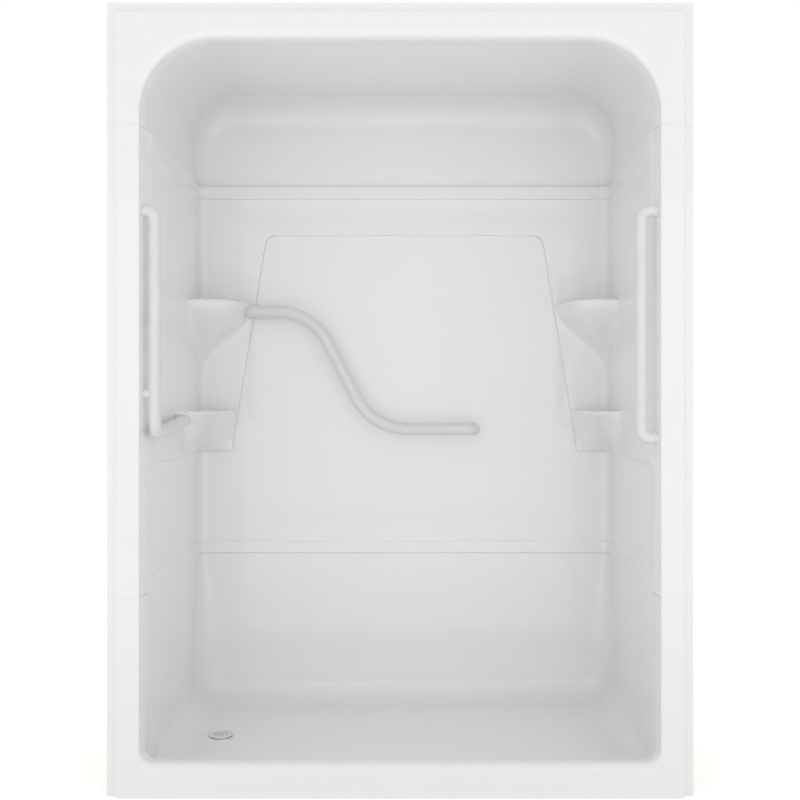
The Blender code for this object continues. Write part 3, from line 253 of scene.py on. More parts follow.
# Stage: each soft panel's name, size, middle, tilt and the angle its light opens to
SOFT_PANELS = (
    ("front_panel", (9.0, 2.4), (0.0, -5.0, 1.3), math.pi / 2, math.pi),
    ("floor_panel", (5.0, 2.4), (0.0, -3.6, 4.0), 0.0, math.radians(60.0)),
)
FLOOR_LEVEL = -0.0005

# Camera of the photograph: place, and lens and sensor in mm with the shifts of the picture
CAMERA_PLACE = (0.049, -3.0065, 1.0267)
CAMERA_LENS = {"lens": 45.3, "sensor_width": 36.0, "shift_x": -0.02375, "shift_y": 0.00125}
CAMERA_REACH = 100.0

# The wall thickness follows the surface's direction, averaged over about this distance
DIRECTION_BLUR = 0.006
BLUR_REACH = 24
MERGE = 1e-7


def ease(value, low, high):
    """Rises from 0 at low to 1 at high and is level at both ends."""
    share = np.clip((value - low) / (high - low), 0.0, 1.0)
    return share * share * (3.0 - 2.0 * share)


def mix(a, b, share):
    return a + (b - a) * share


def stations(*runs, end):
    """Places along a line; each run is (start, steps) and reaches to the next run's start."""
    ends = [start for start, _ in runs[1:]] + [end]
    pieces = [np.linspace(run[0], stop, run[1], endpoint=False) for run, stop in zip(runs, ends)]
    return np.concatenate(pieces + [[end]])


def shares(steps):
    """Even shares from 0 to 1, both included."""
    return np.linspace(0.0, 1.0, steps + 1)


def quarter(steps):
    """Angles from 0 to a right angle, both included."""
    return np.linspace(0.0, math.pi / 2, steps + 1)


def full_turn(sides):
    """Angles once round, without the last, which is the first again."""
    return 2 * math.pi * np.arange(sides) / sides


def points_of(x, depth, z):
    """World points from half widths, depths and heights of any matching shapes."""
    return np.stack(np.broadcast_arrays(x, FRONT_Y + depth, z), axis=-1)


def world(x, depth, z):
    return np.array((x, FRONT_Y + depth, z))


def filled(first, last, steps):
    """Even rows between two rows of points, which are left out."""
    return mix(first, last, shares(steps)[1:-1, None, None])


def unit(vectors):
    return vectors / np.maximum(np.linalg.norm(vectors, axis=-1, keepdims=True), 1e-12)


def grid_cells(rows, columns):
    """Quads between the points of a grid, as numbers of points."""
    corner = np.arange(rows * columns).reshape(rows, columns)
    return np.stack([corner[:-1, :-1], corner[:-1, 1:], corner[1:, 1:], corner[1:, :-1]], axis=-1)


def all_cells(points):
    return np.ones((len(points) - 1, points.shape[1] - 1), bool)


def cell_areas(points, kept):
    """Area vector of each kept cell: half the cross product of its diagonals, towards the room."""
    rising = points[1:, 1:] - points[:-1, :-1]
    falling = points[1:, :-1] - points[:-1, 1:]
    return np.cross(rising, falling) / 2 * kept[..., None]


def blurred(directions, points, axis):
    """Averages along one grid axis with a bell curve of the distance between points."""
    directions = np.swapaxes(directions, 0, axis)
    points = np.swapaxes(points, 0, axis)
    total = directions.copy()
    for step in range(1, min(BLUR_REACH, len(points) - 1) + 1):
        gap = np.linalg.norm(points[step:] - points[:-step], axis=-1, keepdims=True)
        weight = np.exp(-((gap / DIRECTION_BLUR) ** 2) / 2)
        total[:-step] += directions[step:] * weight
        total[step:] += directions[:-step] * weight
    return np.swapaxes(total, 0, axis)


def room_directions(points, kept):
    """Unit vectors towards the room: the areas of the cells round each point, blurred."""
    areas = cell_areas(points, kept)
    total = np.zeros(points.shape)
    for row in (0, 1):
        for column in (0, 1):
            rows, columns = areas.shape[:2]
            total[row:row + rows, column:column + columns] += areas
    total = blurred(blurred(total, points, 0), points, 1)
    return unit(total)


def both_halves(right, left=None):
    """A grid across the whole width from its right half and the left one's mirror image.

    The columns start at the middle. Without a left half the grid is symmetrical.
    """
    left = right if left is None else left
    return np.concatenate([left[:, :0:-1] * (-1.0, 1.0, 1.0), right], axis=1)


def add_laps(points, kept, lap_end, wall_step, up):
    """Two more columns at each end: a ledge stepped back from the edge, then the lap's end.

    Gives the points, the kept cells and the thickness directions; up is 1 where the lap
    rises from the edge and -1 where it hangs from it.
    """
    directions = room_directions(points, kept)
    ends = []
    for column in (0, -1):
        edge = points[:, column]
        level = unit(directions[:, column] * (1.0, 1.0, 0.0))
        depth = edge[:, 1:2] - FRONT_Y
        step = mix(FRAME_LAP_STEP, wall_step, ease(depth, *FRAME_LAP_DEPTHS))
        ledge = edge - level * step
        end = ledge * (1.0, 1.0, 0.0) + (0.0, 0.0, lap_end)
        mitre = level + (0.0, 0.0, up)
        directions[:, column] = mitre
        ends.append((np.stack([end, ledge], axis=1), np.stack([level, mitre], axis=1)))
    (left, left_way), (right, right_way) = ends
    points = np.concatenate([left, points, right[:, ::-1]], axis=1)
    directions = np.concatenate([left_way, directions, right_way[:, ::-1]], axis=1)
    beside = np.repeat(kept[:, :1], 2, axis=1), np.repeat(kept[:, -1:], 2, axis=1)
    kept = np.concatenate([beside[0], kept, beside[1]], axis=1)
    return points, kept, directions


def welded(points, faces):
    """Merges points at one place, and turns a face that has lost a corner into a triangle.

    Gives the first of each place's points, the quads and the triangles.
    """
    _, first, index = np.unique(np.round(points / MERGE), axis=0, return_index=True, return_inverse=True)
    faces = index.reshape(-1)[faces]
    same = faces == np.roll(faces, -1, axis=1)
    quads = faces[~same.any(axis=1)]
    torn = faces[same.sum(axis=1) == 1]
    triangles = torn[~same[same.sum(axis=1) == 1]].reshape(-1, 3)
    return first, quads, triangles


def open_edges(quads, triangles):
    """Directed edges that no face runs along the other way."""
    loops = [np.stack([f, np.roll(f, -1, axis=1)], axis=-1).reshape(-1, 2) for f in (quads, triangles)]
    edges = np.concatenate(loops).astype(np.int64)
    count = edges.max() + 1
    forward, back = edges[:, 0] * count + edges[:, 1], edges[:, 1] * count + edges[:, 0]
    return edges[~np.isin(forward, back)]


def mesh_object(name, points, parts, finishes, angle):
    """An object from points and (faces, finish number) parts; edges over the angle stay crisp."""
    mesh = bpy.data.meshes.new(name)
    parts = [(faces, number) for faces, number in parts if len(faces)]
    sizes = np.concatenate([np.full(len(faces), faces.shape[1]) for faces, _ in parts])
    corners = np.concatenate([faces.ravel() for faces, _ in parts])
    mesh.vertices.add(len(points))
    mesh.vertices.foreach_set("co", points.astype(np.float32).ravel())
    mesh.loops.add(len(corners))
    mesh.loops.foreach_set("vertex_index", corners.astype(np.int32))
    mesh.polygons.add(len(sizes))
    mesh.polygons.foreach_set("loop_start", (np.cumsum(sizes) - sizes).astype(np.int32))
    numbers = np.concatenate([np.full(len(faces), number) for faces, number in parts])
    mesh.polygons.foreach_set("material_index", numbers.astype(np.int32))
    mesh.update(calc_edges=True)
    mesh.validate()
    mesh.shade_smooth()
    mesh.set_sharp_from_angle(angle=math.radians(angle))
    for finish in finishes:
        mesh.materials.append(finish)
    obj = bpy.data.objects.new(name, mesh)
    bpy.context.scene.collection.objects.link(obj)
    return obj


def place(obj, slot, *nodes, body="enclosure"):
    """The piece stands for CAD nodes, which it hides, and moves with a body. The slot is not used."""
    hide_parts(*nodes)
    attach(obj, body)
    return obj


def shell(name, points, kept, directions, laminate, finishes):
    """A closed sheet: the grid, its copy moved back along the directions, and a rim."""
    flat, way = points.reshape(-1, 3), directions.reshape(-1, 3)
    first, quads, triangles = welded(flat, grid_cells(*points.shape[:2])[kept])
    front, way = flat[first], way[first]
    count = len(front)
    rim = open_edges(quads, triangles)
    rim = np.stack([rim[:, 1], rim[:, 0], rim[:, 0] + count, rim[:, 1] + count], axis=1)
    behind = front - way * laminate
    used = np.zeros(count, bool)
    used[quads] = True
    used[triangles] = True
    index = np.cumsum(np.concatenate([used, used])) - 1
    points = np.concatenate([front[used], behind[used]])
    back = [quads[:, ::-1] + count, triangles[:, ::-1] + count]
    parts = [(index[faces], 0) for faces in (quads, triangles, rim)] + [(index[faces], 1) for faces in back]
    return mesh_object(name, points, parts, finishes, 35.0)


# Front frame, shared by the three shells


def frame_profile(sizes):
    """Outer rows of the frame as (distance outside the face's edge, share of the way forward).

    Flange, hollow fillet, side and rounded outer edge, from the outside inwards. Depth is the
    flange's setback at share 0 and the face's own depth at share 1.
    """
    fillet, edge = sizes.flange_fillet, sizes.face_edge
    across = [np.linspace(FLANGE_WIDTH, fillet, 4), fillet - fillet * np.sin(quarter(4))[1:]]
    depth = [np.full(4, FLANGE_SETBACK), FLANGE_SETBACK - fillet + fillet * np.cos(quarter(4))[1:]]
    across.append(-edge + edge * np.cos(quarter(6)))
    depth.append(edge - edge * np.sin(quarter(6)))
    return np.concatenate(across), np.concatenate(depth)


def frame_rows(sizes, outline, level, corner, depth, end, columns, up):
    """Rows of the flange, the face and the rounded edge of the opening, for the pan or the dome.

    The outline is (x, z) of the outer rows. Along the level run the edge is given by its level
    and depth at each row, and at the sides by the jamb's quarter circle.
    """
    set_back = frame_profile(sizes)[1]
    set_back = np.where(set_back > sizes.face_edge, set_back, set_back + FACE_DEPTH)
    outer = points_of(outline[0], set_back[:, None], outline[1])
    half, side_depth = jamb_edge(quarter(EDGE_STEPS), FACE_DEPTH)
    x, z, _, _, share = u_contour(half, level, corner(half), end, *columns, up)
    edge = points_of(x, mix(depth[:, None], side_depth[:, None], np.minimum(share, 1.0)), z)
    return [outer, filled(outer[-1], edge[0], 9), edge]


def back_turn(up, wall_depth, level_radius, side_radius, joint_radius, turn):
    """(radius, depth, inward reach) of the rows that turn a contour into the back wall."""
    radius = mix(level_radius, side_radius, np.minimum(up, 1.0))
    radius = mix(radius, joint_radius, np.maximum(up - 1.0, 0.0))
    return radius, wall_depth - radius * (1.0 - np.sin(turn)), radius * (1.0 - np.cos(turn))


def closed_back(rows, back, depth, z):
    """All rows, with the ones that turn into the back wall and its own, which end at one point."""
    rows += [filled(rows[-1][-1], back[0], 8), back]
    rows.append(mix(back[-1], world(0.0, depth, z), shares(10)[1:, None, None]))
    return np.concatenate(rows)


def jamb_edge(turn, face_depth):
    """(half width, depth) on the small quarter circle that turns the face into the jamb."""
    return FACE_EDGE_HALF - JAMB_EDGE * np.sin(turn), face_depth + JAMB_EDGE * (1.0 - np.cos(turn))


def wall_half(depth, front=WALL_HALF_FRONT, back=WALL_HALF_BACK):
    """Half width between the side walls, which open out evenly towards the back."""
    along = (depth - WALL_START_DEPTH) / (CORNER_DEPTH - WALL_START_DEPTH)
    flank = mix(FACE_EDGE_HALF - JAMB_EDGE, JAMB_HALF, (depth - JAMB_EDGE) / (JAMB_BACK_DEPTH - JAMB_EDGE))
    return np.where(depth <= JAMB_BACK_DEPTH, flank, mix(front, back, along))


# Wall surround


def panel_half(z):
    """Half width of the trapezoid panel, whose top corners are quarter circles."""
    level = np.minimum(z, PANEL_TOP_Z)
    share = np.maximum((level - SKIRT_Z) / (PANEL_TOP_Z - SKIRT_Z), 0.0)
    rise = np.maximum((level - PANEL_TOP_Z) / PANEL_CORNER_RADIUS + 1.0, 0.0)
    pulled = PANEL_CORNER_RADIUS * (1.0 - np.sqrt(np.maximum(1.0 - rise * rise, 0.0)))
    return mix(PANEL_HALF_BOTTOM, PANEL_HALF_TOP, share) - pulled


def surround_planes(z):
    """Half width at the front and the back, back wall depth and corner centre at each height."""
    band_top, band_bottom = LOWER_JOINT_Z + BAND_HEIGHT, UPPER_JOINT_Z - BAND_HEIGHT
    lower = 1.0 - ease(z, band_top - BAND_EDGE, band_top)
    raised = ease(z, SKIRT_Z, SKIRT_Z + SKIRT_STEP)
    upper = COVE_SHARE * ease(z, COVE_BOTTOM_Z, band_bottom) ** 2
    upper = mix(upper, 1.0, ease(z, band_bottom - BAND_EDGE, band_bottom))
    side = LOWER_BAND_PROUD * lower + UPPER_BAND_SIDE * upper
    front = WALL_HALF_FRONT - side - RAISED_FRONT * raised
    back = WALL_HALF_BACK - side - RAISED_BACK * raised
    depth = BACK_WALL_DEPTH - LOWER_BAND_PROUD * lower - RAISED_PANEL * raised - UPPER_BAND_BACK * upper
    centre_x = mix(WALL_HALF_BACK - CORNER_RADIUS, back - UPPER_BAND_RADIUS, upper)
    centre_depth = mix(CORNER_DEPTH, depth - UPPER_BAND_RADIUS, upper)
    return front, back, depth, centre_x, centre_depth


def plain_path(t, planes, panel_x):
    """Plan path with no shelf; t counts 2 along the side, 4 round the corner, 3 to the panel."""
    front, back, depth, centre_x, centre_depth = planes
    tangent = wall_half(centre_depth, front, back)
    start = wall_half(SHELF_DEPTH, front, back)
    along, behind = np.clip(t / 2, 0.0, 1.0), np.clip((t - 6) / 3, 0.0, 1.0)
    turn = np.clip((t - 2) / 4, 0.0, 1.0) * math.pi / 2
    x = start + (tangent - start) * along + (tangent - centre_x) * (np.cos(turn) - 1.0)
    x = x + (panel_x - centre_x) * behind
    return x, SHELF_DEPTH + (centre_depth - SHELF_DEPTH) * along + (depth - centre_depth) * np.sin(turn)


def shelf_path(t, planes, panel_x, corner, radius):
    """Plan path along a shelf's front edge: straight, round its corner, back to the panel."""
    start = wall_half(SHELF_DEPTH, planes[0], planes[1])
    start = np.stack([start, np.full_like(start, SHELF_DEPTH)], axis=-1)
    end = np.stack([panel_x, planes[2]], axis=-1)
    corner = np.array(corner)
    to_start, to_end = unit(start - corner), unit(end - corner)
    half_angle = np.arccos((to_start * to_end).sum(axis=-1, keepdims=True)) / 2
    tangent = radius / np.tan(half_angle)
    centre = corner + unit(to_start + to_end) * radius / np.sin(half_angle)
    first, last = corner + to_start * tangent - centre, corner + to_end * tangent - centre
    sweep = math.pi - 2 * half_angle
    t = t[..., None]
    share = np.clip((t - 2) / 4, 0.0, 1.0)
    arc = (first * np.sin(sweep * (1 - share)) + last * np.sin(sweep * share)) / np.sin(sweep)
    plan = start + (centre + first - start) * np.clip(t / 2, 0.0, 1.0) + arc - first
    plan = plan + (end - centre - last) * np.clip((t - 6) / 3, 0.0, 1.0)
    return plan[..., 0], plan[..., 1]


def shelf_rows(top, apron, steps, sizes):
    """(height, share of the shelf's reach left) from the apron's foot to above the shelf.

    Apron, rounded nose, top rising a little towards the wall, and the fillet at the wall.
    """
    nose, cove = sizes.shelf_nose, sizes.shelf_cove
    turn = quarter(7)[1:]
    heights = [np.linspace(apron, top - nose, steps + 1), top - nose + nose * np.sin(turn)]
    reach = [np.ones(steps + 1), 1.0 - SHELF_NOSE_SHARE * (1.0 - np.cos(turn))]
    flat = shares(8)[1:]
    heights += [top + SHELF_RISE * flat, top + SHELF_RISE + cove * (1.0 - np.cos(turn))]
    reach += [mix(1.0 - SHELF_NOSE_SHARE, SHELF_COVE_SHARE, flat), SHELF_COVE_SHARE * (1.0 - np.sin(turn))]
    return np.concatenate(heights), np.concatenate(reach)


def surround_rows(sizes):
    """(height, share of the lower shelf's reach, share of the upper shelf's) of each row."""
    band_top, band_bottom = LOWER_JOINT_Z + BAND_HEIGHT, UPPER_JOINT_Z - BAND_HEIGHT
    apron = SKIRT_Z + SKIRT_STEP
    runs = [(LOWER_JOINT_Z, 5), (band_top - BAND_EDGE, 5), (band_top, 10), (SKIRT_Z, 5)]
    start = stations(*runs, end=apron)[:-1]
    low_z, low_left = shelf_rows(LOWER_SHELF_Z, apron, 14, sizes)
    high_z, high_left = shelf_rows(UPPER_SHELF_Z, UPPER_APRON_Z, 36, sizes)
    between = np.linspace(low_z[-1], UPPER_APRON_Z, 6)[1:-1]
    rounded = PANEL_TOP_Z - PANEL_CORNER_RADIUS
    above = np.linspace(high_z[-1], rounded, 9)[1:-1]
    corner = rounded + PANEL_CORNER_RADIUS * np.sin(quarter(14))[:-1]
    runs = [(PANEL_TOP_Z, 5), (PANEL_TOP_Z + PANEL_EDGE, 5), (COVE_BOTTOM_Z, 8)]
    finish = stations(*runs, (band_bottom - BAND_EDGE, 5), (band_bottom, 6), end=UPPER_JOINT_Z)
    z = np.concatenate([start, low_z, between, high_z, above, corner, finish])
    lower, upper = np.zeros(len(z)), np.zeros(len(z))
    first = len(start)
    rise = np.clip((low_z - apron) / (LOWER_SHELF_Z - sizes.shelf_nose - apron), 0.0, 1.0)
    lower[first:first + len(low_z)] = rise * low_left
    first += len(low_z) + len(between)
    rise = ease(high_z, UPPER_APRON_Z, UPPER_SHELF_Z - sizes.shelf_nose)
    upper[first:first + len(high_z)] = rise * high_left
    return z, lower, upper


def drawn_path(planes, panel_x, share):
    """Plan path with the upper shelf drawn towards the corner of the walls by the share lost.

    Along the side wall, then the mean of the corner's arc and the shelf's edge weighted by the
    share, then along the back wall to the panel.
    """
    t = np.linspace(0.0, 9.0, PATH_STEPS[1] + 1)[None, :]
    arc = plain_path(2.0 + 4.0 * t / 9.0, planes, panel_x)
    edge = shelf_path(t, planes, panel_x, SHELF_CORNER, SHELF_CORNER_RADIUS)
    x, depth = (mix(a, b, share) for a, b in zip(arc, edge))
    side = shares(PATH_STEPS[0])[None, :-1]
    behind = shares(PATH_STEPS[2])[None, 1:]
    start = wall_half(SHELF_DEPTH, planes[0], planes[1])
    x = np.concatenate([mix(start, x[:, :1], side), x, mix(x[:, -1:], panel_x, behind)], axis=1)
    last = mix(depth[:, -1:], planes[2], behind)
    depth = np.concatenate([mix(SHELF_DEPTH, depth[:, :1], side), depth, last], axis=1)
    return settled(x, share), settled(depth, share)


def settled(grid, share):
    """Softens the apron's foot: each point moves to the mean of its neighbours, many times over.

    The move fades out towards the shelf's edge, where the share nears 1, and at both ends of
    the path.
    """
    columns = np.linspace(0.0, 1.0, grid.shape[1])
    below = np.arange(len(grid))[:, None] < np.argmax(share)
    free = below * (1.0 - ease(share, 0.75, 0.97))
    free = free * ease(columns, 0.0, 0.06) * ease(1.0 - columns, 0.0, 0.06)
    for _ in range(APRON_SETTLING):
        mean = np.zeros_like(grid)
        mean[1:-1, 1:-1] = grid[2:, 1:-1] + grid[:-2, 1:-1] + grid[1:-1, 2:] + grid[1:-1, :-2]
        grid = np.where(free > 0.0, mix(grid, mean / 4, free), grid)
    return grid


def wall_surround_points(sizes):
    """Rows upwards and columns from the left flange to the right one."""
    z, lower, upper = (row[:, None] for row in surround_rows(sizes))
    planes = surround_planes(z)
    front, back, depth = planes[:3]
    band_top, band_bottom = LOWER_JOINT_Z + BAND_HEIGHT, UPPER_JOINT_Z - BAND_HEIGHT
    low_edge = ease(z, band_top - BAND_EDGE, band_top)
    face = FACE_DEPTH * low_edge * (1.0 - ease(z, band_bottom - BAND_EDGE, band_bottom))
    out, set_back = frame_profile(sizes)
    lines = [(FACE_HALF + out, np.where(set_back > sizes.face_edge, set_back, set_back + face))]
    across = np.linspace(FACE_HALF - sizes.face_edge, FACE_EDGE_HALF, 7)[1:-1]
    lines += [(across, face), jamb_edge(quarter(10), face)]
    flank = shares(5)[1:]
    depths = mix(face + JAMB_EDGE, JAMB_BACK_DEPTH, flank)
    lines.append((mix(FACE_EDGE_HALF - JAMB_EDGE, JAMB_HALF, flank), depths))
    along = stations((JAMB_BACK_DEPTH, 10), (JAMB_BLEND_DEPTH, 7), end=SHELF_DEPTH)[1:-1]
    wall = mix(front, back, (along - WALL_START_DEPTH) / (CORNER_DEPTH - WALL_START_DEPTH))
    lines.append((mix(JAMB_HALF, wall, ease(along, JAMB_BACK_DEPTH, JAMB_BLEND_DEPTH)), along))
    t = np.linspace(0.0, 9.0, sum(PATH_STEPS) + 1)[None, :]
    panel_x = panel_half(z)
    path = plain_path(t, planes, panel_x)
    low_shelf = shelf_path(t, planes, panel_x, LOWER_SHELF_CORNER, LOWER_SHELF_CORNER_RADIUS)
    drawn = drawn_path(planes, panel_x, upper)
    below = [mix(a, b, lower) for a, b in zip(path, low_shelf)]
    lines.append([np.where(z < UPPER_APRON_Z, a, b) for a, b in zip(below, drawn)])
    recess = RAISED_PANEL * ease(z, SKIRT_Z, SKIRT_Z + SKIRT_STEP)
    recess = recess * (1.0 - ease(z, PANEL_TOP_Z, PANEL_TOP_Z + PANEL_EDGE))
    step = shares(5)[1:]
    lines.append((panel_x - PANEL_EDGE * step, depth + recess * ease(step, 0.0, 1.0)))
    step, width = shares(8)[1:], PANEL_GROOVE[0]
    groove = PANEL_GROOVE[1] * recess / RAISED_PANEL * np.sin(math.pi * step) ** 2
    lines.append((panel_x - PANEL_EDGE - width * step, depth + recess + groove))
    across = np.linspace(1.0, 0.0, 6)[1:]
    lines.append(((panel_x - PANEL_EDGE - width) * across, depth + recess))
    grids = [points_of(x, along, z) for x, along in lines]
    points = both_halves(np.concatenate(grids, axis=1)[:, ::-1])
    kept = all_cells(points)
    return points, kept, room_directions(points, kept)


# Base pan


def pan_floor_z(x, depth):
    """Height of the floor: a level patch round the drain, then an even rise in every direction."""
    reach = np.hypot(x - DRAIN_X, depth - DRAIN_DEPTH) - DRAIN_PATCH * math.sqrt(2.0)
    return DRAIN_FLOOR_Z + FLOOR_FALL * (reach + np.sqrt(reach * reach + FLOOR_BLEND**2)) / 2


def u_contour(half, bottom, radius, top, floor_x, arc, side, up):
    """Right half of a front-view U or arch from its middle: level run, corner arc, then the side.

    Rows of (x, z, inward x, inward z, share along the side); up is 1 for a U and -1 for an arch.
    """
    half, bottom, radius = (np.reshape(value, (-1, 1)) for value in (half, bottom, radius))
    turn = quarter(arc)[None, :]
    level = floor_x * np.minimum((half - radius) / floor_x[-1], 1.0)
    x = [level, half - radius + radius * np.sin(turn), half + np.zeros((1, side))]
    z = [bottom + 0.0 * level, bottom + up * (radius - radius * np.cos(turn))]
    z.append(mix(bottom + up * radius, top, shares(side)[None, 1:]))
    zero, one = np.zeros(len(floor_x)), np.ones(side)
    inward_x = np.concatenate([zero, -np.sin(turn[0]), -one])
    inward_z = up * np.concatenate([zero + 1.0, np.cos(turn[0]), 0.0 * one])
    share = np.concatenate([zero, turn[0] / (math.pi / 2), 1.0 + shares(side)[1:]])
    rows = max(len(part) for part in x + z)
    x, z = ([np.broadcast_to(part, (rows, part.shape[1])) for part in parts] for parts in (x, z))
    return np.concatenate(x, axis=1), np.concatenate(z, axis=1), inward_x, inward_z, share


def square_outline(half, level, run, drop, end, floor_x, arc, side):
    """The face's square outer edge: along the level line to the corner, then along the side."""
    half, level = np.reshape(half, (-1, 1)), np.reshape(level, (-1, 1))
    middle = arc // 2
    out = shares(middle)[None, :]
    start = half - run
    inner = floor_x[None, :] * np.minimum(start / floor_x[-1], 1.0)
    x = [inner, mix(start, half, out), half + np.zeros((1, middle + side))]
    turned = level + (drop - level) * out[:, 1:]
    along = mix(drop, end, shares(side)[None, 1:])
    z = [level + np.zeros((1, len(floor_x) + middle + 1)), turned, along + 0.0 * half]
    return np.concatenate(x, axis=1), np.concatenate(z, axis=1)


def pan_grid(sizes, hand):
    """Rows from the flange to the back wall, columns from the middle to one side.

    Both sides are written to the right; hand is -1 for the left side, whose floor falls to the
    drain, and 1 for the right one.
    """
    near, far = -DRAIN_X - DRAIN_PATCH, -DRAIN_X + DRAIN_PATCH
    columns = stations((0.0, 20), (near, 20), end=far), *PAN_SIDE_STEPS
    outer = frame_profile(sizes)[0]
    top = LOWER_JOINT_Z - JOINT_GAP_FACE
    run = FACE_HALF - FACE_EDGE_HALF + OPENING_BOTTOM_RADIUS
    drop = THRESHOLD_Z + OPENING_BOTTOM_RADIUS
    outline = square_outline(FACE_HALF + outer, 0.0 * outer, run, drop, top, *columns)
    turn = quarter(EDGE_STEPS)
    level = THRESHOLD_Z - THRESHOLD_RADIUS * (1.0 - np.sin(turn))
    depth = FACE_DEPTH + THRESHOLD_RADIUS * (1.0 - np.cos(turn))
    rows = frame_rows(
        sizes, outline, level, lambda half: OPENING_BOTTOM_RADIUS + half - JAMB_HALF, depth, top, columns, 1)
    dam = shares(14)
    near, far = DRAIN_DEPTH - DRAIN_PATCH, DRAIN_DEPTH + DRAIN_PATCH
    levels = stations((THRESHOLD_FOOT_DEPTH, 14), (near, 20), (far, 8), end=LAST_ROW_DEPTH)[1:]
    depth = np.concatenate([mix(THRESHOLD_TOP_DEPTH, THRESHOLD_FOOT_DEPTH, dam), levels])
    bottom = np.concatenate([mix(THRESHOLD_Z, FLOOR_Z, ease(dam, 0.0, 1.0)), np.full(len(levels), FLOOR_Z)])
    radius = mix(OPENING_BOTTOM_RADIUS, PAN_CORNER_RADIUS, ease(depth, *CORNER_GROWTH))
    wall_top = mix(top, LOWER_JOINT_Z - JOINT_GAP_WALL, ease(depth, *JOINT_GAP_DEPTHS))[:, None]
    x, z, _, _, up = u_contour(wall_half(depth), bottom, radius, wall_top, *columns, 1)
    lowered = (pan_floor_z(hand * x, depth[:, None]) - FLOOR_Z) * np.maximum(1.0 - up, 0.0)
    z = z + lowered * (bottom <= FLOOR_Z)[:, None]
    rows.append(points_of(x, depth[:, None], z))
    top = LOWER_JOINT_Z - JOINT_GAP_WALL
    points = closed_back(rows, pan_back_rows(top, columns, hand), BACK_WALL_DEPTH, top)
    return points, len(outer) - 1, len(columns[0]) + columns[1] // 2


def pan_back_rows(top, columns, hand):
    """Rows that turn the floor and the sides up into the back wall by quarter circles."""
    turn = quarter(PAN_BACK_STEPS)[:, None]
    x, z, inward_x, inward_z, up = u_contour(WALL_HALF_BACK, FLOOR_Z, PAN_CORNER_RADIUS, top, *columns, 1)
    radii = PAN_BACK_RADIUS, PAN_SIDE_RADIUS, CORNER_RADIUS
    radius, depth, inwards = back_turn(up, BACK_WALL_DEPTH, *radii, turn)
    narrowed = (x - wall_half(BACK_WALL_DEPTH - radius)) * np.maximum(up - 1.0, 0.0) * (1.0 - np.sin(turn))
    lowered = (pan_floor_z(hand * x, depth) - FLOOR_Z) * np.maximum(1.0 - up, 0.0) * np.cos(turn)
    return points_of(x - narrowed + inward_x * inwards, depth, z + inward_z * inwards + lowered)


def open_drain_hole(points, kept):
    """Leaves out the cells over the drain and draws the square round them into a circle.

    A point keeps its direction from the drain's middle; its distance blends from the hole's
    radius at the square to its own at the edge of the level patch.
    """
    x, depth = points[..., 0] - DRAIN_X, points[..., 1] - FRONT_Y - DRAIN_DEPTH
    far = np.maximum(np.abs(x), np.abs(depth))
    square = DRAIN_HOLE_CELLS * DRAIN_PATCH / 10
    near = (far < DRAIN_PATCH) & (points[..., 2] < FLOOR_Z + FLOOR_FALL)
    share = np.clip((far - square) / (DRAIN_PATCH - square), 0.0, 1.0)
    reach = np.maximum(np.hypot(x, depth), MERGE)
    scale = np.where(near, mix(DRAIN_HOLE_RADIUS / reach, 1.0, share), 1.0)
    middle_x = (x[1:, 1:] + x[:-1, :-1]) / 2
    middle_depth = (depth[1:, 1:] + depth[:-1, :-1]) / 2
    inside = np.maximum(np.abs(middle_x), np.abs(middle_depth)) < square
    inside &= points[1:, 1:, 2] < FLOOR_Z + FLOOR_FALL
    points[..., 0] = DRAIN_X + x * scale
    points[..., 1] = FRONT_Y + DRAIN_DEPTH + depth * scale
    return points, kept & ~inside


def base_pan_points(sizes):
    """Points, kept cells and thickness directions: the face below the opening is left out."""
    (left, outline_row, corner), (right, _, _) = (pan_grid(sizes, hand) for hand in (-1.0, 1.0))
    points = both_halves(right, left)
    rows, columns = points.shape[:2]
    middle = columns // 2
    column = np.arange(columns - 1)
    on_side = np.maximum(np.abs(column - middle), np.abs(column + 1 - middle)) > corner
    kept = (np.arange(rows - 1) >= outline_row)[:, None] | on_side[None, :]
    points, kept = open_drain_hole(points, kept)
    return add_laps(points, kept, LOWER_JOINT_Z + LAP_HEIGHT, PAN_LAP_STEP, 1.0)


# Roof dome


def ceiling_z(depth):
    """Height of the ceiling, which rises evenly from the lintel to the back fillet."""
    end = DOME_BACK_DEPTH - DOME_BACK_RADIUS
    return mix(CEILING_FRONT_Z, CEILING_BACK_Z, (depth - WALL_START_DEPTH) / (end - WALL_START_DEPTH))


